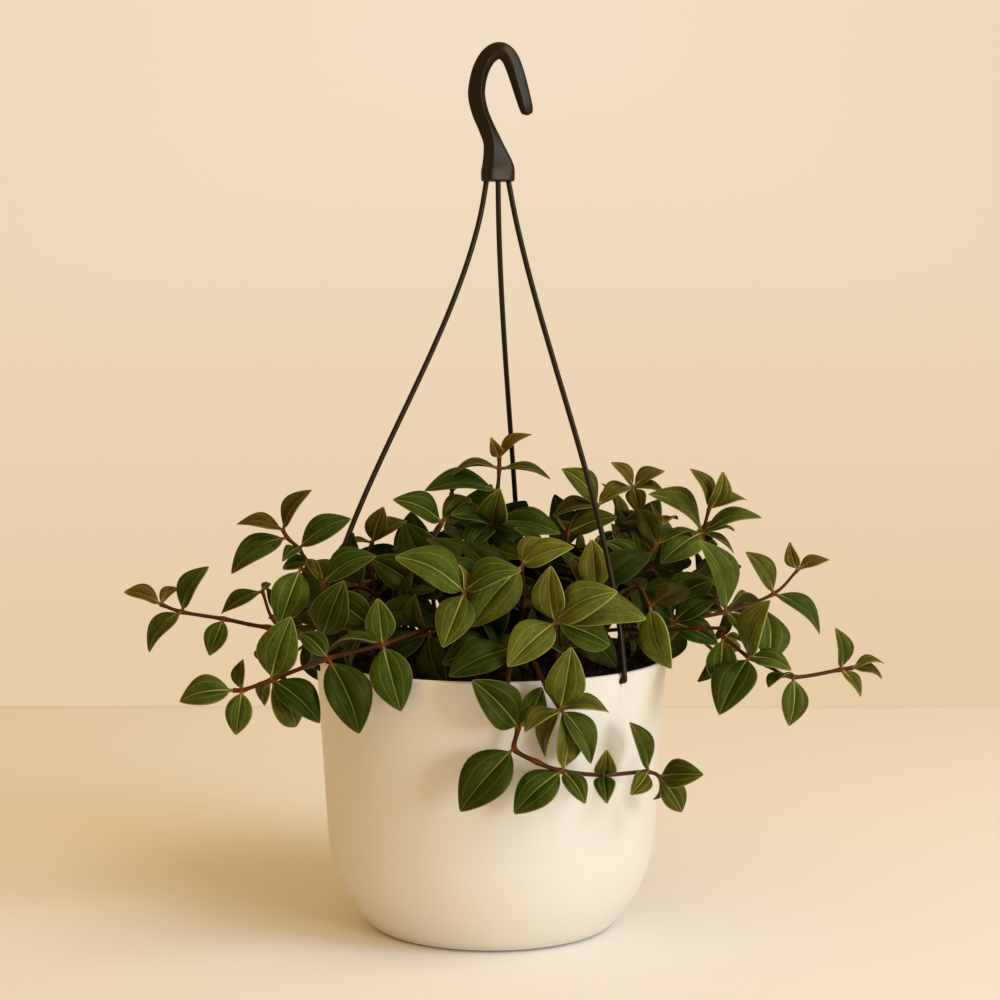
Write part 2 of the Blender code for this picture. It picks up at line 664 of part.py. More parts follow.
def stem_mesh(stem):
    """Return a four-sided tube along a stem, which tapers to a blunt tip."""
    last = len(stem.points) - 1
    picks = [0]
    for mark in [stem.fixed - 1] + stem.marks:
        start = picks[-1]
        if mark - start > 1:
            pieces = math.ceil((mark - start) / TUBE_STEP)
            picks += [start + round((mark - start) * k / pieces) for k in range(1, pieces + 1)]
    picks[-1] = last
    vertices = []
    side = Vector((1.0, 0.0, 0.0))
    before = Vector((0.0, 0.0, 1.0))
    for k in picks:
        run = (stem.points[min(k + 1, last)] - stem.points[max(k - 1, 0)]).normalized()
        if k < stem.fixed:
            run = Vector((0.0, 0.0, 1.0))
        side.rotate(before.rotation_difference(run))
        before = run
        other = run.cross(side)
        radius = STEM_RADIUS + (STEM_TIP_RADIUS - STEM_RADIUS) * k / last
        for way in (side, other, -side, -other):
            vertices.append(stem.points[k] + way * radius)
    faces = [(3, 2, 1, 0)]
    for k in range(len(picks) - 1):
        for j in range(4):
            a = 4 * k + j
            b = 4 * k + (j + 1) % 4
            faces.append((a, b, b + 4, a + 4))
    tip = len(vertices)
    vertices.append(stem.points[last] + run * STEM_POINT)
    faces += [(tip - 4 + j, tip - 4 + (j + 1) % 4, tip) for j in range(4)]
    return vertices, faces


def near_pairs(points, owner):
    """Return the pairs of points of different owners that lie near each other."""
    first = []
    second = []
    for k in range(len(points)):
        gap = np.sqrt(((points[k + 1:] - points[k]) ** 2).sum(axis=1))
        near = np.nonzero((gap < 3.0 * STEM_SPACE) & (owner[k + 1:] != owner[k]))[0]
        first += [k] * len(near)
        second += list(near + k + 1)
    return np.array(first), np.array(second)


def bend_apart(stems, fences):
    """Bend the stems clear of one another, of the strands and of the pot's rim."""
    counts = [len(stem.points) for stem in stems]
    points = np.array([point for stem in stems for point in stem.points] + fences)
    owner = np.repeat(np.arange(len(stems) + 1), counts + [len(fences)])
    held = np.ones(len(points), dtype=bool)
    start = 0
    for stem, count in zip(stems, counts):
        held[start + stem.fixed:start + count] = False
        start += count
    same = (owner[1:] == owner[:-1])[:, None]
    for number in range(BEND_ROUNDS):
        if number % SEARCH_ROUNDS == 0:
            first, second = near_pairs(points, owner)
        away = points[first] - points[second]
        gap = np.sqrt((away ** 2).sum(axis=1)) + 0.000001
        away *= (np.clip(STEM_SPACE - gap, 0.0, None) / gap)[:, None]
        push = np.zeros_like(points)
        np.add.at(push, first, away * np.where(held[second], 1.0, 0.5)[:, None])
        np.add.at(push, second, -away * np.where(held[first], 1.0, 0.5)[:, None])
        reach = np.hypot(points[:, 0], points[:, 1])
        over = (abs(reach - RIM_RADIUS) < RIM_BAND) & (points[:, 2] > 0.8 * POT_HEIGHT)
        lift = np.clip(POT_HEIGHT + RIM_SPACE - points[:, 2], 0.0, None)
        push[:, 2] += np.where(over, lift, 0.0)
        for _ in range(BEND_SPREAD):
            step = 0.25 * (push[1:] - push[:-1]) * same
            push[:-1] += step
            push[1:] -= step
        push[held] = 0.0
        points += BEND_SHARE * push
    start = 0
    for stem, count in zip(stems, counts):
        stem.points = [Vector(place) for place in points[start:start + count]]
        start += count


def leaf_size(draw, age):
    """Return a leaf's length and the ratio of its width, from how many nodes it is from the tip."""
    length = LEAF_LENGTHS[min(age, 2)] * draw.uniform(1.0 - LENGTH_SPREAD, 1.0 + LENGTH_SPREAD)
    return length, YOUNG_RATIO if age == 0 else BLADE_RATIO


def wanted_leaves(stem, draw):
    """Return the leaves that a stem's nodes call for, before any is turned clear."""
    wanted = []
    last = len(stem.points) - 1
    count = len(stem.marks)
    for number, (mark, listed) in enumerate(zip(stem.marks, stem.leaf_lists)):
        base = stem.points[mark]
        run = (stem.points[min(mark + 1, last)] - stem.points[max(mark - 1, 0)]).normalized()
        age = count - 1 - number + int(stem.by_rule and count <= SHORT_STEM)
        for x, y, z, right, up in listed:
            tip = Vector((x, y, z))
            right, up = math.radians(right), math.radians(up)
            face = Vector((math.sin(right), -math.cos(right) * math.cos(up),
                           math.cos(right) * math.sin(up)))
            ratio = BLADE_RATIO if tip.length > YOUNG_LENGTH else YOUNG_RATIO
            wanted.append(Leaf(base, tip, face, tip.length, tip.length * ratio, age))
        inner = math.hypot(base.x, base.y) < FILL_REACH and base.z < FILL_HEIGHT
        spare = 2 + number % 2 if stem.by_rule else int(inner and len(listed) in (1, 2))
        first = draw.uniform(0.0, 360.0)
        for k in range(spare):
            outward = Vector((base.x, base.y, 0.0)).normalized()
            ring = run.orthogonal().normalized()
            ring.rotate(Matrix.Rotation(math.radians(first + 360.0 * k / spare), 3, run))
            length, ratio = leaf_size(draw, age)
            if not stem.by_rule:
                ring = Vector((ring.x, abs(ring.y) + 0.5, 0.4 * ring.z)).normalized()
                outward = Vector((0.5 * outward.x, 0.6, 0.0))
                length *= 0.85
            axis = ring + run * draw.uniform(0.2, 0.7)
            face = Vector((0.0, 0.0, 0.8)) + outward * 0.6 + run * 0.4
            wanted.append(Leaf(base, axis, face, length, length * ratio, age))
    return wanted


def variations():
    """Return the swings, rolls and scales to try, the smallest change first."""
    tries = []
    for lift in (0, 9, -9, 18, -18, 28, -28, 40, -40):
        for swing in (0, 12, -12, 26, -26):
            for roll in (0, 22, -22):
                for scale in (1.0, 0.85, 0.7, 0.58):
                    cost = abs(lift) + 1.6 * abs(swing) + 0.7 * abs(roll) + 120.0 * (1.0 - scale)
                    tries.append((cost, lift, swing, roll, scale))
    return [entry[1:] for entry in sorted(tries)]


class Crowd:
    """The solids placed so far, which the next leaf has to clear."""

    def __init__(self):
        self.members = []

    def add(self, key, vertices, faces):
        """Add a solid under its owner's key."""
        centre = sum(vertices, Vector()) / len(vertices)
        radius = max((vertex - centre).length for vertex in vertices)
        self.members.append((key, centre, radius, BVHTree.FromPolygons(vertices, faces)))

    def add_object(self, solid):
        """Add a mesh object under its own name."""
        faces = [tuple(face.vertices) for face in solid.data.polygons]
        self.add(solid.name, [vertex.co / MM for vertex in solid.data.vertices], faces)

    def meets(self, key, whole, blade):
        """Say whether a leaf meets a solid: its blade any one, its stalk only other owners'."""
        tree = BVHTree.FromPolygons(*whole)
        part = BVHTree.FromPolygons(*blade)
        centre = sum(whole[0], Vector()) / len(whole[0])
        radius = max((vertex - centre).length for vertex in whole[0])
        for owner, middle, reach, other in self.members:
            if (middle - centre).length > radius + reach:
                continue
            if (part if owner == key else tree).overlap(other):
                return True
        return False


def dips_into_soil(vertices):
    """Say whether a leaf dips into the soil from above."""
    return any(math.hypot(x, y) < RIM_RADIUS and z < min(POT_HEIGHT, soil_height(x, y) + 1.0)
               for x, y, z in vertices[4:])


def place_leaves(stems, crowd):
    """Give each stem its leaves, each in the nearest clear position to the one it calls for."""
    draw = random.Random(SEED)
    tries = variations()
    queue = []
    for key, stem in enumerate(stems):
        wanted = wanted_leaves(stem, draw)
        listed = sum(len(leaves) for leaves in stem.leaf_lists)
        for k, leaf in enumerate(wanted):
            queue.append((stem.by_rule or k >= listed, key, leaf))
    queue.sort(key=lambda entry: entry[0])
    for late, key, leaf in queue:
        stem = stems[key]
        stations = PLAIN_STATIONS if late or leaf.length < FINE_LENGTH else FINE_STATIONS
        for lift, swing, roll, scale in tries:
            trial = leaf.varied(lift, swing, roll, scale)
            whole = leaf_mesh(trial, stations, LEAF_SPACE)
            if dips_into_soil(whole[0]):
                continue
            blade = leaf_mesh(trial, stations, LEAF_SPACE, with_stalk=False)
            if not crowd.meets(key, whole, blade):
                vertices, faces = leaf_mesh(trial, stations)
                crowd.add(key, vertices, faces)
                stem.leaves.append((trial, vertices, faces))
                break


def grow_stems(fences):
    """Lay out every stem and leaf."""
    draw = random.Random(SEED + 1)
    plans = [(name, nodes, False) for name, nodes in FRONT_STEMS]
    for name, degrees, reach, top, tip, count in OTHER_STEMS:
        places = arched_stem(draw, degrees, reach, top, tip, count)
        plans.append((name, [(place, ()) for place in places], True))
    spots = root_places(len(plans), ROOT_REACH)
    firsts = {name: Vector(nodes[0][0]).to_2d() * ROOT_LEAN for name, nodes, _ in plans}
    roots = {}
    for name in sorted(firsts, key=lambda name: firsts[name].length):
        roots[name] = min(spots, key=lambda spot: (Vector(spot) - firsts[name]).length)
        spots.remove(roots[name])
    stems = [Stem("stem_" + name, roots[name], nodes, by_rule) for name, nodes, by_rule in plans]
    bend_apart(stems, fences)
    return stems


def build_stem(stem, surface):
    """Make one leafy stem as a single body."""
    target = mesh_object(stem.name, *stem_mesh(stem), surface)
    group = bpy.data.collections.new(stem.name + "_leaves")
    bpy.context.scene.collection.children.link(group)
    for k, (leaf, vertices, faces) in enumerate(stem.leaves):
        blade = mesh_object("%s_leaf_%d" % (stem.name, k), vertices, faces)
        bpy.context.scene.collection.objects.unlink(blade)
        group.objects.link(blade)
    join_collection(target, group, "UNION", "MANIFOLD")
    return target


def main():
    """Build the pot, the hanger, the soil and the plant."""
    clear_scene()
    cream = material("cream_plastic", (0.80, 0.66, 0.47), 0.55)
    black = material("black_plastic", (0.02, 0.017, 0.014), 0.4)
    earth = material("potting_soil", (0.035, 0.02, 0.011), 0.95)
    green = material("peperomia_leaf", (0.055, 0.085, 0.018), 0.4)
    crowd = Crowd()
    crowd.add_object(build_pot(cream))
    build_hook(black)
    fences = []
    for name in STRAND_BEARINGS:
        build_strand(name, black)
        route = strand_route(name)
        for a, b in zip(route, route[1:]):
            steps = max(1, round((b - a).length / STEM_STEP))
            fences += [a.lerp(b, k / steps) for k in range(steps)]
            rod = cylinder_between("rod", a, b, STRAND_RADIUS, 8)
            crowd.add_object(rod)
            bpy.data.objects.remove(rod, do_unlink=True)
    stems = grow_stems(fences)
    for key, stem in enumerate(stems):
        crowd.add(key, *stem_mesh(stem))
    build_soil(earth, [stem.root for stem in stems])
    place_leaves(stems, crowd)
    for stem in stems:
        build_stem(stem, green)


main()
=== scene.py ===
import json
import math
import random

import bmesh
import bpy
import numpy as np
from mathutils import Matrix, Vector, noise
from mathutils.bvhtree import BVHTree

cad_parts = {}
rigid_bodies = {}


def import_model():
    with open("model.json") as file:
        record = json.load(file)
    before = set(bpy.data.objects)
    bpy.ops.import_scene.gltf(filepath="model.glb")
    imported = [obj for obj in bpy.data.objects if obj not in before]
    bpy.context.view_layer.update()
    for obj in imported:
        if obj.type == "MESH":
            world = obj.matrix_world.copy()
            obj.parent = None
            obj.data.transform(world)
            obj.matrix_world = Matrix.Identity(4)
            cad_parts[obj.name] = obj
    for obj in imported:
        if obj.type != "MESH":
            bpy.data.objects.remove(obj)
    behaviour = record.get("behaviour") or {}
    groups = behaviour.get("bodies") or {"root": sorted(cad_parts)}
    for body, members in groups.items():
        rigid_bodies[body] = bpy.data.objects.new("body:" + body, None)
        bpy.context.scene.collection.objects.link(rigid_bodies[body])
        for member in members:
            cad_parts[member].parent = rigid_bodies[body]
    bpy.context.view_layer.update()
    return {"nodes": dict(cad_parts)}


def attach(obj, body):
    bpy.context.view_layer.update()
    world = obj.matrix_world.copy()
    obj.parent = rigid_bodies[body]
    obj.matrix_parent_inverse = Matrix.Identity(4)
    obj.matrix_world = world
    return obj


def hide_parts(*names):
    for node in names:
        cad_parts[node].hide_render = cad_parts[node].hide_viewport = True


bl_info = {
    "name": "Trailing Peperomia",
    "version": (1, 0, 0),
    "blender": (4, 5, 0),
    "location": "View3D > Sidebar > Peperomia",
    "description": "Dresses a trailing peperomia in its hanging pot, and sets up a plain studio",
    "category": "Add Mesh",
}

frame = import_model()

# Lengths in this file are millimetres until a mesh is made, as the plant is laid out in them.
MM = 0.001
GAP = 0.3

# Pot
POT_HEIGHT = 140.0
RIM_RADIUS = 90.5
BELLY_RADIUS = 82.0
BASE_CURVE_HEIGHT = 55.0
BASE_CURVE_DEPTH = 20.0
BASE_CURVE_POWER = 2.7
WALL = 2.8
FLOOR_THICKNESS = 3.5
FLOOR_CORNER = 4.0

# Soil
SOIL_TOP = 131.0
SOIL_DOME = 4.0
SOIL_BUMP = 0.8
SOIL_INSET = 0.9
SOIL_RADIUS = RIM_RADIUS - WALL - SOIL_INSET - 0.5
ROOT_DEPTH = 12.0

# Hanger
STRAND_RADIUS = 1.5
STRAND_ROW = {"strand_left": -5.2, "strand_back": 0.0, "strand_right": 4.4}
STRAND_TOP = 388.0
STRAND_TOP_SLOPE = {"strand_left": 0.3, "strand_back": 0.0, "strand_right": 0.7}
STRAND_RIM_SLOPE = 0.25
STRAND_FOOT_HEIGHT = 136.3
STRAND_BEND = 2.2
STRAND_BEARINGS = {"strand_right": 45.0, "strand_back": 170.0, "strand_left": 285.0}
HANGER_X = 3.4

# Stems: STEM_STEP is the spacing of a route's points, and TUBE_STEP counts them between rings.
STEM_RADIUS = 1.65
STEM_TIP_RADIUS = 1.0
STEM_POINT = 1.5
STEM_STEP = 4.0
TUBE_STEP = 6
ROOT_REACH = 66.0
ROOT_LEAN = 0.7
NECK_HEIGHT = 3.0
SHORT_STEM = 3
SEED = 29

# How stems that meet are bent apart, round by round
STEM_SPACE = 6.6
RIM_SPACE = 4.0
RIM_BAND = 6.0
BEND_ROUNDS = 400
BEND_SHARE = 0.6
BEND_SPREAD = 16
SEARCH_ROUNDS = 15

# Arched stems: where the first node stands, and how far a stem swings sideways
FIRST_REACH = 52.0
FIRST_HEIGHT = 16.0
SWING = 14.0

# Leaves: lengths are by how many nodes the leaf is from the tip, ratios are width to length, and
# stations are the parts of the blade's length that have a ring of points. Nodes inside the fill
# reach and height get a leaf beyond those listed.
LEAF_LENGTHS = (20.0, 29.0, 36.0)
LENGTH_SPREAD = 0.12
PETIOLE = 0.07
BLADE_THICKNESS = 1.4
BLADE_RATIO = 0.62
YOUNG_RATIO = 0.52
YOUNG_LENGTH = 17.0
BLADE_ARCH = 0.1
BLADE_SWELL = 0.85
BLADE_FULLNESS = 0.8
BLADE_SINK = 0.5
LEAF_SPACE = 0.4
FILL_REACH = 95.0
FILL_HEIGHT = 208.0
FINE_LENGTH = 22.0
FINE_STATIONS = (0.16, 0.44, 0.76)
PLAIN_STATIONS = (0.2, 0.62)

# A stem is its name and its nodes. A node is a place and its leaves. A leaf is the vector from
# the node to its tip, then the angles by which its face turns to the right and up from the front.
FRONT_STEMS = (
    ("far_left", (
        ((-84, 4, 152), ()),
        ((-116, 0, 154), ()),
        ((-138, -5, 159), ((-7, -6, -18, 0, 35),)),
        ((-159, -8, 163), ((12, 2, 24, -38, 28), (-18, -4, -19, -29, 43))),
        ((-170, -8, 167), ((-18, -3, 7, 22, 51), (7, 12, 8, -6, 59))))),
    ("left_back", (
        ((-100, 12, 147), ()),
        ((-114, 12, 156), ()),
        ((-120, 14, 171), ((-21, -6, -11, -17, 60), (3, 8, 4, 0, 40))))),
    ("upper_left", (
        ((-77, 22, 165), ()),
        ((-96, 20, 185), ((-15, 8, -3, 0, 40),)),
        ((-101, 18, 193), ((27, 4, 16, -18, 46), (-7, -14, -4, 0, 40))),
        ((-107, 16, 199), ((-29, -8, -17, -16, 51),)),
        ((-109, 15, 203), ((-24, -2, 4, 11, 65), (14, -2, 22, -46, 35))))),
    ("left_inner", (
        ((-84, -45, 155), ((11, -8, 29, 0, 20),)),
        ((-84, -38, 181), ((26, 2, 15, 0, 50),)),
        ((-96, -30, 188), ((-10, -9, -28, 8, 15),)))),
    ("low_left", (
        ((-25, -62, 162), ()),
        ((-52, -82, 157), ((-2, -6, 23, 0, 10), (9, -8, -31, 0, 20), (-28, 8, -4, 0, 65))),
        ((-78, -88, 151), ((16, -5, -35, 24, 20), (-14, 8, 12, 0, 50), (-13, 14, -7, 0, 40))),
        ((-105, -90, 141), ((10, -4, 31, 0, 15), (24, -7, -19, 18, 43), (-5, 10, -14, -30, 20),
                            (11, 12, -25, 0, 20))),
        ((-119, -90, 136), ((-1, 9, 14, -34, 30), (-3, -3, -21, 0, 20))),
        ((-123, -90, 136), ((-26, -2, -4, 0, 35),)))),
    ("top_left", (
        ((-65, 40, 184), ()),
        ((-64, 42, 194), ((6, -2, 19, 0, 10), (20, -1, 13, 0, 55), (-15, -4, -1, 0, 80))))),
    ("mid_left", (
        ((-32, 8, 188), ((-19, -6, 7, 0, 60),)),
        ((-26, 12, 207), ((-24, -10, 14, 0, 45), (15, 14, 12, 0, 50))))),
    ("thin_mid", (
        ((-31, 20, 193), ()),
        ((-24, 24, 210), ()),
        ((-21, 26, 222), ((-1, -8, 5, 0, 60), (4, 10, 6, 0, 60))))),
    ("top_mid", (
        ((-1, 20, 187), ((16, -22, 4, 0, 50),)),
        ((0, 20, 206), ((-21, -12, 6, 0, 50), (36, -10, -3, 0, 55), (4, -18, 19, 0, 20),
                        (-11, -20, -10, 0, 50))),
        ((3, 20, 223), ((-38, -6, 1, 5, 66),)),
        ((4, 20, 235), ((-25, -3, -2, 0, 80), (27, -2, -5, 0, 80))),
        ((4, 20, 241), ((-4, -8, 10, 14, -34), (17, 4, 12, 0, 75))))),
    ("front_left", (
        ((-10, -56, 157), ()),
        ((-13, -68, 180), ((-32, -6, 20, 0, 45), (-2, 6, 14, 60, 30), (27, -4, 13, 0, 50),
                           (-10, -16, -24, 0, 25))))),
    ("front_mid", (
        ((16, -46, 172), ()),
        ((15, -58, 192), ((25, -8, 11, 0, 50), (-25, -10, -28, 0, 30), (13, 12, 15, 0, 50))))),
    ("front_right", (
        ((32, -70, 150), ()),
        ((31, -84, 168), ((28, -10, 17, 0, 40), (-23, -14, -19, 0, 35), (44, 4, 2, 0, 55),
                          (-3, -2, 27, 0, 15), (27, 14, -13, 0, 30))))),
    ("over_front", (
        ((21, -90, 149), ()),
        ((27, -95, 137), ()),
        ((33, -97, 128), ((5, -6, 30, 0, 12), (-17, -14, -8, -7, 68), (23, -4, 1, 0, 68),
                          (16, 6, -27, 50, 26), (-7, 10, -23, -60, 21))))),
    ("trailing", (
        ((10, -82, 154), ((-30, -12, -11, 0, 45),)),
        ((8, -99, 133), ()),
        ((13, -100, 119), ((-21, -12, 25, 33, 4), (5, -4, 28, -6, 2))),
        ((11, -101, 110), ((-26, -8, -28, -10, 25),)),
        ((22, -101, 103.5), ()),
        ((34, -98, 98.6), ((-23, -7, -19, -9, 30), (11, -9, -13, 11, 43), (1, -6, 27, 41, -14))),
        ((54, -90, 95.0), ((1, -11, 14, 0, -30), (1, -14, -10, 0, 52))),
        ((76, -77, 94.0), ((-9, -4, 25, 54, 21), (-10, -10, -10, 5, 41))),
        ((82, -73, 90.6), ((20, -13, 4, -34, 29), (12, 2, -18, 0, 30), (-2, 8, -13, 70, 10))))),
    ("right_high", (
        ((62, -30, 178), ()),
        ((75, -22, 188), ((-17, -2, 13, 0, 50),)),
        ((84, -14, 198), ((-8, 6, 18, 0, 40),)),
        ((87, -8, 207), ((-20, 10, 2, 0, 50),)))),
    ("right_mid", (
        ((70, -46, 179), ()),
        ((78, -62, 173), ((8, -8, -30, -42, 2), (20, 8, 7, 0, 40))))),
    ("right_top", (
        ((104, 18, 179), ((-14, -8, -7, 10, 40),)),
        ((110, 12, 202), ((-28, -10, 22, 40, 53), (-23, -16, -14, 0, 35), (30, -4, 10, -20, 71),
                          (17, 2, -11, 0, 78), (18, 14, 1, 6, 79))),
        ((113, 8, 215), ((-10, -2, 21, 50, 28), (7, -7, 19, 23, -29), (23, 3, 4, 0, 66))))),
    ("top_right", (
        ((79, 34, 196), ((-10, -14, -9, 0, 40), (9, 10, 20, 0, 45), (-14, 8, 20, 0, 45))),
        ((75, 34, 224), ((-11, -2, 14, 0, 60), (17, 5, 9, 0, 62), (15, -8, -2, 0, 66),
                         (-18, -8, -6, 0, 60), (3, -12, -13, 0, 20))))),
    ("high_mid", (
        ((40, 18, 201), ((22, 14, 8, 0, 50),)),
        ((56, 26, 215), ((-19, -4, 20, 0, 50), (-24, -4, -4, 0, 65), (13, 8, 7, 0, 60),
                         (-11, 10, -11, 0, 100))))),
    ("right", (
        ((91, -36, 161), ((22, -6, -9, 0, 35), (22, 4, 13, 0, 25), (-16, 8, 16, 0, 50))),
        ((118, -30, 166), ((-12, -6, 37, 50, 13), (20, 8, 5, 0, 100), (10, -6, -12, 0, 50),
                           (-17, 8, -4, 0, 75))),
        ((143, -22, 174), ((-14, -2, 22, 41, 29), (25, -2, -19, 31, 58))),
        ((156, -18, 186), ((-5, -4, 14, -24, 12), (17, 4, 5, -10, 66))))),
    ("right_low", (
        ((103, -54, 161), ()),
        ((114, -58, 157), ((-1, 1, -25, 0, 15), (12, 4, -4, 0, 50))),
        ((127, -58, 147), ((-18, -15, -27, -13, 37), (20, -7, -4, 0, 50), (3, -10, 33, -62, 4))),
        ((136, -57, 143), ((1, 15, 29, 25, 30),)),
        ((149, -56, 137), ((-2, -3, -24, 21, 5), (-18, -10, -3, 0, 95))),
        ((173, -52, 140), ((-2, -2, 21, 43, 0), (10, -2, -13, 30, 35))),
        ((179, -52, 141), ((15, 1, -5, 17, 53), (15, 4, 3, 0, 70))))),
    ("centre_right", (
        ((52, -44, 178), ((-2, -2, 26, 0, 15), (-12, 6, 17, 0, 40), (28, 12, 19, 0, 60))),)),
)

# A stem round the back or in the crown is its name, the bearing in degrees that it leaves by,
# how far out it reaches, how high it arches, the height of its tip and its number of nodes.
OTHER_STEMS = (
    ("back_right", 100, 128, 184, 160, 4),
    ("back_right_low", 120, 134, 165, 132, 4),
    ("back_right_high", 127, 118, 200, 192, 4),
    ("back_outer", 142, 168, 180, 140, 5),
    ("back_mid_high", 152, 98, 186, 182, 4),
    ("back_trailing", 165, 132, 165, 70, 6),
    ("back_mid", 180, 158, 185, 150, 5),
    ("back_crown", 192, 84, 190, 184, 4),
    ("back_left_outer", 203, 170, 175, 128, 5),
    ("back_left_high", 214, 116, 174, 164, 4),
    ("back_left_low", 226, 132, 160, 126, 4),
    ("back_left", 243, 106, 172, 158, 4),
    ("side_left", 262, 102, 162, 146, 3),
    ("side_right", 84, 92, 174, 168, 3),
    ("crown_front", 22, 32, 172, 170, 2),
    ("crown_front_low", 355, 64, 156, 152, 2),
    ("crown_front_left", 328, 62, 164, 158, 2),
    ("crown_front_right", 28, 58, 162, 158, 2),
    ("crown_left", 282, 40, 178, 176, 2),
    ("crown_far_left", 300, 72, 168, 160, 2),
    ("crown_right", 92, 42, 182, 180, 2),
    ("crown_back", 180, 34, 190, 188, 3),
    ("crown_back_left", 245, 58, 180, 176, 2),
    ("crown_back_right", 130, 62, 182, 178, 2),
    ("crown_low_right", 66, 72, 164, 158, 2),
    ("crown_mid", 345, 40, 182, 178, 2),
)

# Each station along the hook: place in X and Z, half width, half depth, and where the front
# ridge stands across the width.
HOOK_STATIONS = (
    (3.3, 383.0, 8.5, 7.2, -0.40), (3.3, 388.6, 8.6, 7.0, -0.38), (2.8, 392.8, 7.6, 6.2, -0.30),
    (1.6, 398.7, 5.8, 5.2, -0.10), (0.1, 404.2, 4.6, 4.6, 0.15), (-2.9, 411.2, 4.2, 4.2, 0.40),
    (-5.8, 418.3, 4.3, 4.2, 0.48), (-7.5, 426.4, 4.4, 4.2, 0.50), (-6.8, 433.9, 4.3, 4.2, 0.45),
    (-4.9, 440.2, 4.3, 4.2, 0.38), (-1.9, 445.4, 4.3, 4.2, 0.25), (1.9, 448.4, 4.3, 4.2, 0.10),
    (5.6, 448.6, 4.3, 4.2, 0.05), (8.8, 446.0, 4.3, 4.2, 0.08), (11.0, 441.8, 4.3, 4.2, 0.14),
    (13.3, 435.2, 4.2, 4.2, 0.20), (15.1, 429.1, 4.0, 4.0, 0.22), (16.9, 422.8, 3.7, 3.8, 0.22),
    (17.8, 419.6, 3.4, 3.4, 0.22), (18.3, 417.6, 2.8, 2.7, 0.22), (18.5, 416.4, 1.6, 1.6, 0.22),
)
RIDGE_FLAT = 0.09


def bearing(degrees):
    """Return the plan direction of a bearing: 0 is the front, 90 the right."""
    turn = math.radians(degrees)
    return Vector((math.sin(turn), -math.cos(turn)))


def pot_radius(height):
    """Return the pot's outer radius at a height."""
    sag = max(0.0, 1.0 - height / BASE_CURVE_HEIGHT) ** BASE_CURVE_POWER
    slope = (RIM_RADIUS - BELLY_RADIUS) / POT_HEIGHT
    return BELLY_RADIUS + slope * height - BASE_CURVE_DEPTH * sag


def inner_radius(height):
    """Return the radius inside the pot at a height, with a rounded corner at the floor."""
    corner = FLOOR_CORNER * max(0.0, 1.0 - (height - FLOOR_THICKNESS) / FLOOR_CORNER)
    return pot_radius(height) - WALL - corner


def soil_height(x, y):
    """Return the height of the soil's uneven, slightly domed top."""
    reach = math.hypot(x, y) / SOIL_RADIUS
    bumps = math.sin(0.16 * x + 1.0) * math.cos(0.13 * y) + 0.6 * math.sin(0.31 * y - 0.22 * x)
    return SOIL_TOP + SOIL_DOME * (1.0 - reach * reach) + SOIL_BUMP * bumps


def strand_spread(part, top_slope):
    """Return how far out a strand has spread at a part of its drop: slow, quick, then slow."""
    start = part ** 3 - 2.0 * part ** 2 + part
    middle = 3.0 * part ** 2 - 2.0 * part ** 3
    end = part ** 3 - part ** 2
    return top_slope * start + middle + STRAND_RIM_SLOPE * end


def strand_route(name):
    """Return a strand's points from inside the hook's base to its foot inside the pot wall."""
    out = bearing(STRAND_BEARINGS[name])
    low = RIM_RADIUS + STRAND_RADIUS + GAP
    bend_top = STRAND_FOOT_HEIGHT + STRAND_BEND
    points = []
    steps = 11
    for k in range(steps + 1):
        part = k / steps
        spread = strand_spread(part, STRAND_TOP_SLOPE[name])
        plan = Vector((HANGER_X + STRAND_ROW[name], 0.0)) * (1.0 - spread) + out * low * spread
        points.append(Vector((plan.x, plan.y, STRAND_TOP - (STRAND_TOP - bend_top) * part)))
    for k in range(1, 4):
        turn = 0.5 * math.pi * k / 3.0
        plan = out * (low - STRAND_BEND * (1.0 - math.cos(turn)))
        points.append(Vector((plan.x, plan.y, bend_top - STRAND_BEND * math.sin(turn))))
    plan = out * (RIM_RADIUS - WALL - 1.6)
    points.append(Vector((plan.x, plan.y, STRAND_FOOT_HEIGHT)))
    return points


def root_places(count, reach):
    """Return evenly spread places for the stems' roots, in a sunflower's order."""
    golden = math.radians(137.508)
    places = []
    for k in range(count):
        radius = reach * math.sqrt((k + 0.5) / count)
        places.append((radius * math.cos(golden * k), radius * math.sin(golden * k)))
    return places


def arched_stem(draw, degrees, reach, top, tip, nodes):
    """Return the node places of a stem that arches up and out from the soil, then droops."""
    low = SOIL_TOP + FIRST_HEIGHT
    start = min(0.5 * reach, FIRST_REACH)
    swing = draw.uniform(-SWING, SWING)
    places = []
    for k in range(nodes):
        part = (k + 0.6) / (nodes - 0.4)
        plan = bearing(degrees + swing * part * part) * (start + (reach - start) * part)
        rise = low + (top - low) * math.sin(0.5 * math.pi * min(1.0, part * 1.9))
        fall = (top - tip) * max(0.0, (part - 0.4) / 0.6) ** 1.5
        places.append(Vector((plan.x, plan.y, rise - fall)))
    return places


def curve_point(a, b, c, d, t):
    """Return the place at a part of the way from b to c, on a smooth curve from a to d."""
    return 0.5 * (2.0 * b + (c - a) * t + (2.0 * a - 5.0 * b + 4.0 * c - d) * t * t
                  + (3.0 * b - a - 3.0 * c + d) * t * t * t)


def walls(rings, sides):
    """Return the faces between rings of points that follow one another."""
    faces = []
    for k in range(rings - 1):
        for j in range(sides):
            a, b = sides * k + j, sides * k + (j + 1) % sides
            faces.append((a, b, b + sides, a + sides))
    return faces


def cone(tip, sides):
    """Return the faces from the last ring of points to the tip that follows it."""
    return [(tip - sides + j, tip - sides + (j + 1) % sides, tip) for j in range(sides)]


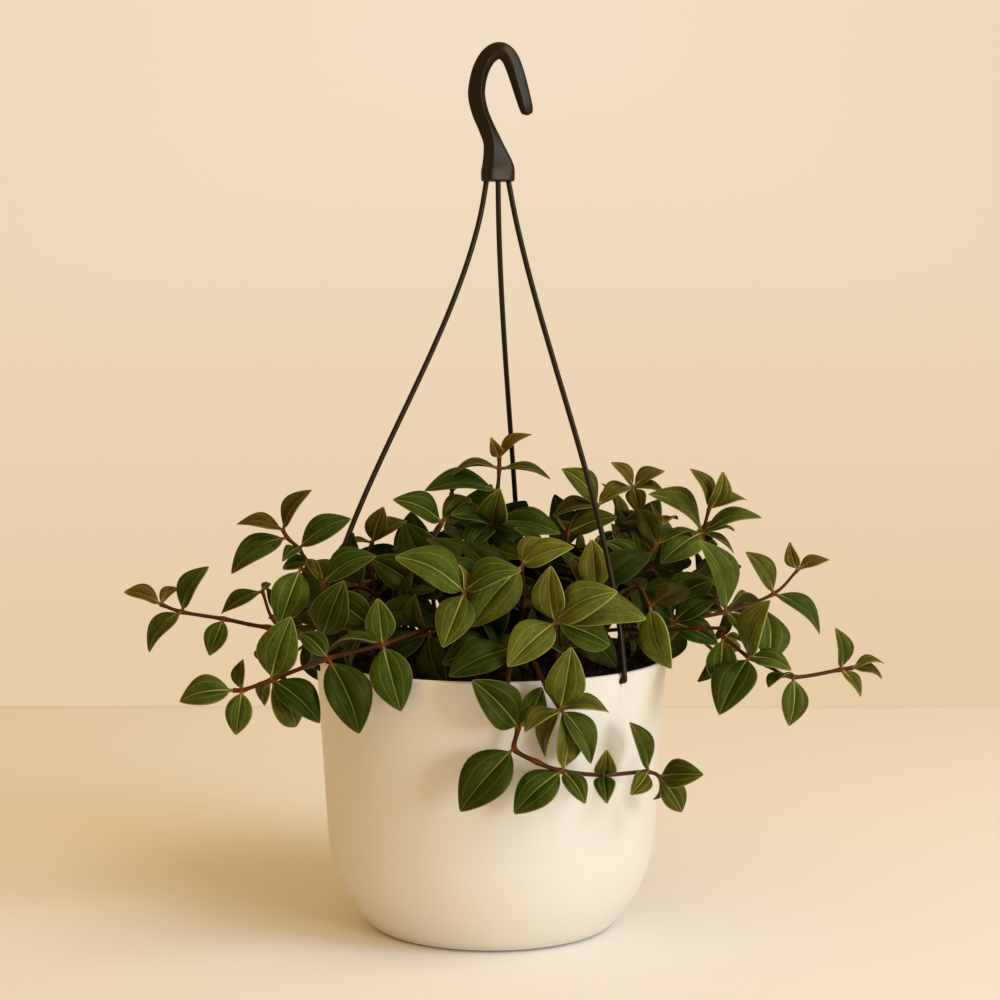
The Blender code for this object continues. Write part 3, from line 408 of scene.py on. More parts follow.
def smooth_route(foot, places):
    """Return points straight up from the foot, then on a smooth curve through places."""
    steps = round((places[0] - foot).length / STEM_STEP)
    points = [foot.lerp(places[0], k / steps) for k in range(steps)]
    marks = []
    ends = [foot] + list(places) + [2.0 * places[-1] - places[-2]]
    for k in range(1, len(ends) - 2):
        a, b, c, d = ends[k - 1:k + 3]
        steps = max(1, round((c - b).length / STEM_STEP))
        marks.append(len(points))
        for j in range(steps):
            points.append(curve_point(a, b, c, d, j / steps))
    marks.append(len(points))
    points.append(places[-1])
    return points, marks


class Stem:
    """One leafy stem: its route, the places of its nodes along it, and its leaves."""

    def __init__(self, name, root, nodes, by_rule):
        self.name = name
        self.root = root
        self.by_rule = by_rule
        self.leaf_lists = [leaves for _, leaves in nodes]
        foot = Vector((root[0], root[1], SOIL_TOP - ROOT_DEPTH))
        neck = Vector((root[0], root[1], SOIL_TOP + SOIL_DOME + NECK_HEIGHT))
        self.points, marks = smooth_route(foot, [neck] + [Vector(place) for place, _ in nodes])
        self.fixed = marks[0] + 1
        self.marks = marks[1:]
        self.leaves = []


class Leaf:
    """One blade on its stalk: a place, an axis, a face direction, a length and a width."""

    def __init__(self, base, axis, normal, length, width, age):
        self.base = base
        self.axis = axis.normalized()
        side = normal.cross(self.axis)
        if side.length < 0.05:
            side = Vector((0.0, 0.0, 1.0)).cross(self.axis)
        self.side = side.normalized()
        self.normal = self.axis.cross(self.side)
        self.length = length
        self.width = width
        self.age = age

    def varied(self, lift, swing, roll, scale):
        """Return this leaf swung to the back, to one side and about its axis, and scaled."""
        away = Vector((0.0, 1.0, 0.0))
        hinge = self.axis.cross(away)
        if hinge.length < 0.1:
            hinge = self.side
        turn = Matrix.Rotation(math.radians(lift), 3, hinge.normalized())
        turn = Matrix.Rotation(math.radians(swing), 3, self.normal) @ turn
        axis = turn @ self.axis
        normal = Matrix.Rotation(math.radians(roll), 3, axis) @ (turn @ self.normal)
        return Leaf(self.base, axis, normal, self.length * scale, self.width * scale, self.age)


def blade_half_width(part):
    """Return the half width at a part of the blade's length, as a share of the whole width."""
    return 0.5 * math.sin(math.pi * part ** BLADE_SWELL) ** BLADE_FULLNESS


def leaf_section(half, thick, grow):
    """Return the three points across a blade, or the five round them that leave room to spare."""
    if grow == 0.0:
        return [(half, thick), (-half, thick), (0.0, -thick)]
    half += grow
    return [(half, thick + grow), (-half, thick + grow), (-half, thick - grow),
            (0.0, -thick - grow), (half, thick - grow)]


def leaf_mesh(leaf, stations, grow=0.0, with_stalk=True):
    """Return a leaf's vertices and triangles: a thin lens along an arched, cupped midrib."""
    vertices = []
    rows = []
    for part in stations:
        half = blade_half_width(part) * leaf.width
        rows.append((PETIOLE + (1.0 - PETIOLE) * part, half, 0.5 * BLADE_THICKNESS))

    def spine(along):
        rise = 4.0 * BLADE_ARCH * leaf.length * along * (1.0 - along)
        return leaf.base + leaf.axis * leaf.length * along + leaf.normal * rise

    vertices.append(leaf.base - leaf.axis * BLADE_SINK if with_stalk else spine(PETIOLE + 0.03))
    for along, half, thick in rows:
        section = leaf_section(half, thick, grow)
        vertices += [spine(along) + leaf.side * x + leaf.normal * y for x, y in section]
    vertices.append(leaf.base + leaf.axis * (leaf.length + grow))
    sides = len(section)
    last = len(vertices) - 1
    faces = []
    for j in range(sides):
        after = (j + 1) % sides
        faces.append((0, 1 + after, 1 + j))
        faces.append((last - sides + j, last - sides + after, last))
        for ring in range(1, last - sides, sides):
            a, b = ring + j, ring + after
            if j < sides - 1:
                faces += [(a, b, b + sides), (a, b + sides, a + sides)]
            else:
                faces += [(a, b, a + sides), (b, b + sides, a + sides)]
    return vertices, faces


def stem_mesh(stem):
    """Return a four-sided tube along a stem, which tapers to a blunt tip."""
    last = len(stem.points) - 1
    picks = [0]
    for mark in [stem.fixed - 1] + stem.marks:
        start = picks[-1]
        if mark - start > 1:
            pieces = math.ceil((mark - start) / TUBE_STEP)
            picks += [start + round((mark - start) * k / pieces) for k in range(1, pieces + 1)]
    picks[-1] = last
    vertices = []
    side = Vector((1.0, 0.0, 0.0))
    before = Vector((0.0, 0.0, 1.0))
    for k in picks:
        run = (stem.points[min(k + 1, last)] - stem.points[max(k - 1, 0)]).normalized()
        if k < stem.fixed:
            run = Vector((0.0, 0.0, 1.0))
        side.rotate(before.rotation_difference(run))
        before = run
        other = run.cross(side)
        radius = STEM_RADIUS + (STEM_TIP_RADIUS - STEM_RADIUS) * k / last
        for way in (side, other, -side, -other):
            vertices.append(stem.points[k] + way * radius)
    faces = [(3, 2, 1, 0)] + walls(len(picks), 4) + cone(len(vertices), 4)
    vertices.append(stem.points[last] + run * STEM_POINT)
    return vertices, faces


def near_pairs(points, owner):
    """Return the pairs of points of different owners that lie near each other."""
    first = []
    second = []
    for k in range(len(points)):
        gap = np.sqrt(((points[k + 1:] - points[k]) ** 2).sum(axis=1))
        near = np.nonzero((gap < 3.0 * STEM_SPACE) & (owner[k + 1:] != owner[k]))[0]
        first += [k] * len(near)
        second += list(near + k + 1)
    return np.array(first), np.array(second)


def bend_apart(stems, fences):
    """Bend the stems clear of one another, of the strands and of the pot's rim."""
    counts = [len(stem.points) for stem in stems]
    points = np.array([point for stem in stems for point in stem.points] + fences)
    owner = np.repeat(np.arange(len(stems) + 1), counts + [len(fences)])
    held = np.ones(len(points), dtype=bool)
    start = 0
    for stem, count in zip(stems, counts):
        held[start + stem.fixed:start + count] = False
        start += count
    same = (owner[1:] == owner[:-1])[:, None]
    for number in range(BEND_ROUNDS):
        if number % SEARCH_ROUNDS == 0:
            first, second = near_pairs(points, owner)
        away = points[first] - points[second]
        gap = np.sqrt((away ** 2).sum(axis=1)) + 0.000001
        away *= (np.clip(STEM_SPACE - gap, 0.0, None) / gap)[:, None]
        push = np.zeros_like(points)
        np.add.at(push, first, away * np.where(held[second], 1.0, 0.5)[:, None])
        np.add.at(push, second, -away * np.where(held[first], 1.0, 0.5)[:, None])
        reach = np.hypot(points[:, 0], points[:, 1])
        over = (abs(reach - RIM_RADIUS) < RIM_BAND) & (points[:, 2] > 0.8 * POT_HEIGHT)
        lift = np.clip(POT_HEIGHT + RIM_SPACE - points[:, 2], 0.0, None)
        push[:, 2] += np.where(over, lift, 0.0)
        for _ in range(BEND_SPREAD):
            step = 0.25 * (push[1:] - push[:-1]) * same
            push[:-1] += step
            push[1:] -= step
        push[held] = 0.0
        points += BEND_SHARE * push
    start = 0
    for stem, count in zip(stems, counts):
        stem.points = [Vector(place) for place in points[start:start + count]]
        start += count


def leaf_size(draw, age):
    """Return a leaf's length and the ratio of its width, from how many nodes it is from the tip."""
    length = LEAF_LENGTHS[min(age, 2)] * draw.uniform(1.0 - LENGTH_SPREAD, 1.0 + LENGTH_SPREAD)
    return length, YOUNG_RATIO if age == 0 else BLADE_RATIO


def wanted_leaves(stem, draw):
    """Return the leaves that a stem's nodes call for, before any is turned clear."""
    wanted = []
    last = len(stem.points) - 1
    count = len(stem.marks)
    for number, (mark, listed) in enumerate(zip(stem.marks, stem.leaf_lists)):
        base = stem.points[mark]
        run = (stem.points[min(mark + 1, last)] - stem.points[max(mark - 1, 0)]).normalized()
        age = count - 1 - number + int(stem.by_rule and count <= SHORT_STEM)
        for x, y, z, right, up in listed:
            tip = Vector((x, y, z))
            right, up = math.radians(right), math.radians(up)
            face = Vector((math.sin(right), -math.cos(right) * math.cos(up),
                           math.cos(right) * math.sin(up)))
            ratio = BLADE_RATIO if tip.length > YOUNG_LENGTH else YOUNG_RATIO
            wanted.append(Leaf(base, tip, face, tip.length, tip.length * ratio, age))
        inner = math.hypot(base.x, base.y) < FILL_REACH and base.z < FILL_HEIGHT
        spare = 2 + number % 2 if stem.by_rule else int(inner and len(listed) in (1, 2))
        first = draw.uniform(0.0, 360.0)
        for k in range(spare):
            outward = Vector((base.x, base.y, 0.0)).normalized()
            ring = run.orthogonal().normalized()
            ring.rotate(Matrix.Rotation(math.radians(first + 360.0 * k / spare), 3, run))
            length, ratio = leaf_size(draw, age)
            if not stem.by_rule:
                ring = Vector((ring.x, abs(ring.y) + 0.5, 0.4 * ring.z)).normalized()
                outward = Vector((0.5 * outward.x, 0.6, 0.0))
                length *= 0.85
            axis = ring + run * draw.uniform(0.2, 0.7)
            face = Vector((0.0, 0.0, 0.8)) + outward * 0.6 + run * 0.4
            wanted.append(Leaf(base, axis, face, length, length * ratio, age))
    return wanted


def variations():
    """Return the swings, rolls and scales to try, the smallest change first."""
    tries = []
    for lift in (0, 9, -9, 18, -18, 28, -28, 40, -40):
        for swing in (0, 12, -12, 26, -26):
            for roll in (0, 22, -22):
                for scale in (1.0, 0.85, 0.7, 0.58):
                    cost = abs(lift) + 1.6 * abs(swing) + 0.7 * abs(roll) + 120.0 * (1.0 - scale)
                    tries.append((cost, lift, swing, roll, scale))
    return [entry[1:] for entry in sorted(tries)]


class Crowd:
    """The solids placed so far, which the next leaf has to clear."""

    def __init__(self):
        self.members = []

    def add(self, key, vertices, faces):
        """Add a solid under its owner's key."""
        centre = sum(vertices, Vector()) / len(vertices)
        radius = max((vertex - centre).length for vertex in vertices)
        self.members.append((key, centre, radius, BVHTree.FromPolygons(vertices, faces)))

    def add_object(self, solid):
        """Add a mesh object under its own name."""
        faces = [tuple(face.vertices) for face in solid.data.polygons]
        self.add(solid.name, [vertex.co / MM for vertex in solid.data.vertices], faces)

    def meets(self, key, whole, blade):
        """Say whether a leaf meets a solid: its blade any one, its stalk only other owners'."""
        tree = BVHTree.FromPolygons(*whole)
        part = BVHTree.FromPolygons(*blade)
        centre = sum(whole[0], Vector()) / len(whole[0])
        radius = max((vertex - centre).length for vertex in whole[0])
        for owner, middle, reach, other in self.members:
            if (middle - centre).length > radius + reach:
                continue
            if (part if owner == key else tree).overlap(other):
                return True
        return False


def dips_into_soil(vertices):
    """Say whether a leaf dips into the soil from above."""
    return any(math.hypot(x, y) < RIM_RADIUS and z < min(POT_HEIGHT, soil_height(x, y) + 1.0)
               for x, y, z in vertices[4:])


def place_leaves(stems, crowd):
    """Give each stem its leaves, each in the nearest clear position to the one it calls for."""
    draw = random.Random(SEED)
    tries = variations()
    queue = []
    for key, stem in enumerate(stems):
        wanted = wanted_leaves(stem, draw)
        listed = sum(len(leaves) for leaves in stem.leaf_lists)
        for k, leaf in enumerate(wanted):
            queue.append((stem.by_rule or k >= listed, key, leaf))
    queue.sort(key=lambda entry: entry[0])
    for late, key, leaf in queue:
        stem = stems[key]
        stations = PLAIN_STATIONS if late or leaf.length < FINE_LENGTH else FINE_STATIONS
        for lift, swing, roll, scale in tries:
            trial = leaf.varied(lift, swing, roll, scale)
            whole = leaf_mesh(trial, stations, LEAF_SPACE)
            if dips_into_soil(whole[0]):
                continue
            blade = leaf_mesh(trial, stations, LEAF_SPACE, with_stalk=False)
            if not crowd.meets(key, whole, blade):
                vertices, faces = leaf_mesh(trial, stations)
                crowd.add(key, vertices, faces)
                stem.leaves.append((trial, vertices, faces))
                break


def grow_stems(fences):
    """Lay out every stem and leaf."""
    draw = random.Random(SEED + 1)
    plans = [(name, nodes, False) for name, nodes in FRONT_STEMS]
    for name, degrees, reach, top, tip, count in OTHER_STEMS:
        places = arched_stem(draw, degrees, reach, top, tip, count)
        plans.append((name, [(place, ()) for place in places], True))
    spots = root_places(len(plans), ROOT_REACH)
    firsts = {name: Vector(nodes[0][0]).to_2d() * ROOT_LEAN for name, nodes, _ in plans}
    roots = {}
    for name in sorted(firsts, key=lambda name: firsts[name].length):
        roots[name] = min(spots, key=lambda spot: (Vector(spot) - firsts[name]).length)
        spots.remove(roots[name])
    stems = [Stem("stem_" + name, roots[name], nodes, by_rule) for name, nodes, by_rule in plans]
    bend_apart(stems, fences)
    return stems


# Fine pieces: how closely each is divided, and its small sizes
POT_SIDES = 176
HOOK_RINGS = 96
CORNER_SHARE = 0.30
CORNER_STEPS = 4
TIP_RINGS = 3
TIP_STEPS = 6
TIP_ROUND = 2.0
TIP_SHRINK = 0.45
STRAND_STEPS = 4
ROD_SHARE = 0.92
HOLE_INSIDE = 8.0
HOLE_OUTSIDE = 6.0
HOLE_SIDES = 32
HOLE_PLAY = 0.25
# Painted shade inside the pot: the height where it starts on the inner wall, and where it is full
INNER_SHADE_LOW = 90.0
INNER_SHADE_FULL = 100.0
FOOT_HEIGHT = 1.2
FOOT_INSET = 6.0
FOOT_ROUND = 0.8
SOIL_RINGS = 60
SOIL_SECTORS = 180
CRUMBS = 900
ROUTE_STEPS = 2
STEM_SIDES = 12
STEM_SHARE = 0.92
NODE_SWELL = 0.42
NODE_LENGTH = 2.2
STALK_RADIUS = 0.85
STALK_BLEND = 0.12
TIP_THINNING = 0.45
CURL_START = 0.55
RIB_HEIGHT = 0.35
RIB_WIDTH = 0.8
GROOVE_DEPTH = 0.4
GROOVE_WIDTH = 0.6
BLADE_STATIONS = (0.0, 0.018, 0.05, 0.10, 0.17, 0.25, 0.34, 0.43, 0.52, 0.61, 0.70, 0.78, 0.85, 0.91,
                  0.955, 0.985)
TOP_PLACES = (-1.0, -0.93, -0.78, -0.62, -0.5, -0.37, -0.2, -0.07, 0.0)
UNDER_PLACES = (0.86, 0.5, 0.14, 0.0)
SIDE_VEIN = 0.5
LOOKS_SEED = 5

# Stems with lighter leaves at the front, partly their own colour and partly painted light, as a share of
# the light leaf colour
PALE_AND_LIT_STEMS = {"stem_front_left": 0.65, "stem_front_mid": 0.7, "stem_front_right": 0.7,
              "stem_over_front": 0.55, "stem_centre_right": 0.3, "stem_right": 0.25,
              "stem_top_right": 0.3, "stem_right_top": 0.35, "stem_low_left": 0.2}

# Painted shade: leaves deep in the crown are made darker, by how far out they stand in a flattened ball
CROWN_CENTRE = (0.0, 0.0, 140.0)
CROWN_REACH = (120.0, 100.0, 78.0)
SHADE_INSIDE = 0.5
SHADE_OUTSIDE = 0.95

# How bronze the youngest leaves of a stem are, as a share of the young leaf colour
BRONZE_STEMS = {"stem_far_left": 0.85, "stem_upper_left": 1.0, "stem_top_mid": 1.0,
                "stem_left_back": 0.1, "stem_low_left": 0.25, "stem_trailing": 0.3, "stem_right": 0.55,
                "stem_right_low": 0.35, "stem_top_right": 0.45, "stem_over_front": 0.4}

# Single leaves paler (above 0) or darker (below 0) than the rest of their stem, by their number on it:
# partly their own tone, partly painted light and shade
LEAF_TONES_AND_SHADE = {
    "stem_low_left": {3: -0.9, 4: -0.3, 6: 0.25, 7: -0.7, 9: 0.2, 10: -0.7},
    "stem_left_inner": {3: 0.25}, "stem_far_left": {0: 0.2}, "stem_upper_left": {3: 0.15},
    "stem_mid_left": {0: -0.2, 1: -1.0, 2: 0.1}, "stem_top_mid": {0: 0.9, 3: 0.2, 4: 0.3},
    "stem_front_left": {0: -0.1, 1: 0.5, 2: -0.3}, "stem_front_mid": {0: 0.2, 1: 0.5, 2: 0.1},
    "stem_front_right": {4: -0.3}, "stem_over_front": {3: -0.2},
    "stem_trailing": {0: -0.4, 2: -0.3, 3: -0.2, 4: -0.4, 7: 0.8, 8: 0.2, 11: 0.3, 13: 0.2},
    "stem_right_high": {1: -0.8, 2: -1.0, 4: -1.0}, "stem_right_mid": {0: 0.7, 1: -1.0},
    "stem_right_top": {0: -0.7, 2: 0.4}, "stem_top_right": {1: -0.7, 2: -1.0, 6: 0.3, 7: -0.7},
    "stem_high_mid": {2: 0.2, 4: 0.3}, "stem_right": {0: -0.3, 1: -0.6, 2: -1.0, 3: 0.25, 9: 0.6},
    "stem_right_low": {3: 0.3, 4: 0.7, 5: 0.3, 6: 0.3, 9: 0.3, 11: 0.5},
    "stem_centre_right": {0: 1.5, 2: -0.9},
}


def linear(colour):
    """Return the linear RGBA of an sRGB hex colour."""
    parts = [int(colour[k:k + 2], 16) / 255.0 for k in (1, 3, 5)]
    return tuple(c / 12.92 if c <= 0.04045 else ((c + 0.055) / 1.055) ** 2.4 for c in parts) + (1.0,)


def swatch(colour, name, description):
    """Return a colour property whose default is an sRGB hex colour."""
    return bpy.props.FloatVectorProperty(name=name, description=description, subtype="COLOR", size=4,
                                         min=0.0, max=1.0, default=linear(colour))


def size_of(value, name, description, most):
    """Return a length property in metres whose default is given in millimetres."""
    return bpy.props.FloatProperty(name=name, description=description, unit="LENGTH", min=0.0,
                                   max=most * MM, default=value * MM, precision=5)


def power_of(value, name, description):
    """Return a light's power property in watts."""
    return bpy.props.FloatProperty(name=name, description=description, unit="POWER", min=0.0,
                                   default=value)


class PotSettings(bpy.types.PropertyGroup):
    """Colours and finish of the pot."""

    colour: swatch("#DED5C4", "Pot colour", "Colour of the moulded pot")
    # Painted shade on the inner wall, where shade falls inside the pot
    inner_wall_shade: swatch("#2A1C10", "Inner wall shade", "Colour of the painted shade on the inner wall")
    grain: size_of(0.35, "Mould grain", "Width of the fine grain that the mould leaves", 5.0)


class SoilSettings(bpy.types.PropertyGroup):
    """Colours and crumbs of the potting soil."""

    dark: swatch("#1C120B", "Damp peat", "Colour of the damp peat")
    light: swatch("#6A4626", "Dry fibre", "Colour of the dry bark and fibre in it")
    crumb: size_of(2.6, "Crumb size", "Width of an average crumb", 12.0)


class HangerSettings(bpy.types.PropertyGroup):
    """Colour and finish of the hook and its strands."""

    colour: swatch("#0E0C08", "Hanger colour", "Colour of the hook and strands")
    grain: size_of(0.5, "Mould grain", "Width of the fine grain that the mould leaves", 5.0)


class PlantSettings(bpy.types.PropertyGroup):
    """Colours and sizes of the leaves and stems."""

    dark: swatch("#233304", "Grown leaf", "Colour of a grown leaf's face")
    # The pale leaf colour stands partly for painted light, on the lit leaves at the front
    light: swatch("#565C1D", "Pale leaf", "Colour of the paler leaves at the front")
    young: swatch("#5A3A0A", "Young leaf", "Colour of the young leaves at a stem's tip")
    vein: swatch("#ADA856", "Vein", "Colour of the three veins and the margin")
    back: swatch("#30350E", "Leaf back", "Colour of a leaf's underside")
    edge: swatch("#2E1406", "Leaf edge", "Colour of a leaf's thin edge")
    stem: swatch("#2E1408", "Stem", "Colour of the stems")
    stem_pale: swatch("#4A2A12", "Young stem", "Colour of the youngest stretch of a stem")
    node: swatch("#6A3411", "Stem node", "Colour where leaf stalks join a stem")
    thickness: size_of(0.95, "Leaf thickness", "Thickness of a blade at its middle", 3.0)
    vein_width: size_of(0.55, "Vein width", "Width of the middle vein near a leaf's base", 3.0)


class StageSettings(bpy.types.PropertyGroup):
    """The plain floor, the backdrop's colours and the lights."""

    floor: swatch("#F6F1E9", "Floor colour", "Colour of the painted floor")
    wall_low: swatch("#E6CCA7", "Backdrop, low", "Backdrop colour near the floor")
    wall_high: swatch("#F3DFC6", "Backdrop, high", "Backdrop colour above the plant")
    key: swatch("#B1D4FF", "Key light", "Colour of the soft main light")
    key_power: power_of(35.7, "Key power", "Power of the main light")
    top: swatch("#FFFAED", "Top light", "Colour of the broad light overhead")
    top_power: power_of(12.6, "Top power", "Power of the light overhead")
    fill: swatch("#E5F1FF", "Front light", "Colour of the low light from the front")
    fill_power: power_of(25.3, "Front power", "Power of the light from the front")
    glow: swatch("#FFDA9C", "Room light", "Colour of the light that the room sends back")
    glow_strength: bpy.props.FloatProperty(name="Room strength", min=0.0, default=0.653,
                                           description="Strength of the light from all round")


def add(tree, kind, inputs=None, **settings):
    """Add a shader node with its settings, and values or sockets for its inputs."""
    node = tree.nodes.new("ShaderNode" + kind)
    for name, value in settings.items():
        setattr(node, name, value)
    for name, value in (inputs or {}).items():
        if isinstance(value, bpy.types.NodeSocket):
            tree.links.new(value, node.inputs[name])
        else:
            node.inputs[name].default_value = value
    return node


def new_material(name):
    """Return an empty material with its node tree, its shader and a place in metres."""
    made = bpy.data.materials.new(name)
    made.use_nodes = True
    tree = made.node_tree
    shader = tree.nodes["Principled BSDF"]
    place = add(tree, "TexCoord").outputs["Object"]
    return made, tree, shader, place


def pot_material(settings):
    """Injection-moulded polypropylene, satin from a finely sparked mould: soft, even highlights.

    Painted shade darkens its inner wall from 90 mm up, in full from 100 mm.
    """
    made, tree, shader, place = new_material("moulded_polypropylene")
    across, deep, height = add(tree, "SeparateXYZ", {0: place}).outputs
    level = add(tree, "CombineXYZ", {0: across, 1: deep}).outputs[0]
    reach = add(tree, "VectorMath", {0: level}, operation="LENGTH").outputs["Value"]
    slope = (RIM_RADIUS - BELLY_RADIUS) / POT_HEIGHT
    skin = add(tree, "Math", {0: height, 1: slope, 2: (BELLY_RADIUS - 0.6 * WALL) * MM},
               operation="MULTIPLY_ADD").outputs[0]
    # Painted shade: the inner wall is darkened from 90 mm up, broken up a little by noise
    inside = add(tree, "Math", {0: reach, 1: skin}, operation="LESS_THAN").outputs[0]
    upper = add(tree, "MapRange", {"Value": height, "From Min": INNER_SHADE_LOW * MM,
                                  "From Max": INNER_SHADE_FULL * MM}).outputs[0]
    inside = add(tree, "Math", {0: inside, 1: upper}, operation="MULTIPLY").outputs[0]
    cloud = add(tree, "TexNoise", {"Vector": place, "Scale": 14.0, "Detail": 2.0})
    faint = add(tree, "MapRange", {"Value": cloud.outputs["Fac"], "To Min": 0.97, "To Max": 1.03})
    tone = add(tree, "VectorMath", {0: settings.colour[:3], "Scale": faint.outputs[0]}, operation="SCALE")
    shade_noise = add(tree, "TexNoise", {"Vector": place, "Scale": 160.0, "Detail": 4.0})
    inner_shading = add(tree, "MapRange", {"Value": shade_noise.outputs["Fac"], "From Min": 0.3, "From Max": 0.5,
                                     "To Min": 0.88}).outputs[0]
    inner_shading = add(tree, "Math", {0: inner_shading, 1: inside}, operation="MULTIPLY").outputs[0]
    tone = add(tree, "Mix", {"Factor": inner_shading, 6: tone.outputs[0], 7: settings.inner_wall_shade}, data_type="RGBA")
    tree.links.new(tone.outputs[2], shader.inputs["Base Color"])
    grain = add(tree, "TexNoise", {"Vector": place, "Scale": 1.0 / settings.grain, "Detail": 2.0})
    rough = add(tree, "MapRange", {"Value": grain.outputs["Fac"], "To Min": 0.42, "To Max": 0.54})
    tree.links.new(rough.outputs[0], shader.inputs["Roughness"])
    bump = add(tree, "Bump", {"Height": grain.outputs["Fac"], "Strength": 0.25, "Distance": 0.00004})
    tree.links.new(bump.outputs[0], shader.inputs["Normal"])
    shader.inputs["IOR"].default_value = 1.49
    return made


def hanger_material(settings):
    """Injection-moulded black polypropylene: dark, with a broad satin shine on its edges."""
    made, tree, shader, place = new_material("moulded_black_polypropylene")
    cloud = add(tree, "TexNoise", {"Vector": place, "Scale": 90.0, "Detail": 3.0})
    faint = add(tree, "MapRange", {"Value": cloud.outputs["Fac"], "To Min": 0.8, "To Max": 1.25})
    tone = add(tree, "VectorMath", {0: settings.colour[:3], "Scale": faint.outputs[0]}, operation="SCALE")
    tree.links.new(tone.outputs[0], shader.inputs["Base Color"])
    grain = add(tree, "TexNoise", {"Vector": place, "Scale": 1.0 / settings.grain, "Detail": 3.0})
    rough = add(tree, "MapRange", {"Value": grain.outputs["Fac"], "To Min": 0.32, "To Max": 0.44})
    tree.links.new(rough.outputs[0], shader.inputs["Roughness"])
    bump = add(tree, "Bump", {"Height": grain.outputs["Fac"], "Strength": 0.3, "Distance": 0.00005})
    tree.links.new(bump.outputs[0], shader.inputs["Normal"])
    shader.inputs["IOR"].default_value = 1.5
    shader.inputs["Specular IOR Level"].default_value = 0.3
    shader.inputs["Specular Tint"].default_value = linear("#FFDFB6")
    return made


def soil_material(settings):
    """Damp peat with bark and fibre: near black, matt, with lighter dry specks."""
    made, tree, shader, place = new_material("peat_potting_soil")
    speck = add(tree, "TexNoise", {"Vector": place, "Scale": 0.8 / settings.crumb, "Detail": 6.0,
                                   "Roughness": 0.7})
    dry = add(tree, "MapRange", {"Value": speck.outputs["Fac"], "From Min": 0.52, "From Max": 0.74})
    tone = add(tree, "Mix", {"Factor": dry.outputs[0], 6: settings.dark, 7: settings.light},
               data_type="RGBA")
    tree.links.new(tone.outputs[2], shader.inputs["Base Color"])
    grit = add(tree, "TexNoise", {"Vector": place, "Scale": 3.0 / settings.crumb, "Detail": 4.0})
    bump = add(tree, "Bump", {"Height": grit.outputs["Fac"], "Strength": 0.8, "Distance": 0.0006})
    tree.links.new(bump.outputs[0], shader.inputs["Normal"])
    shader.inputs["Roughness"].default_value = 0.92
    shader.inputs["Specular IOR Level"].default_value = 0.25
    return made


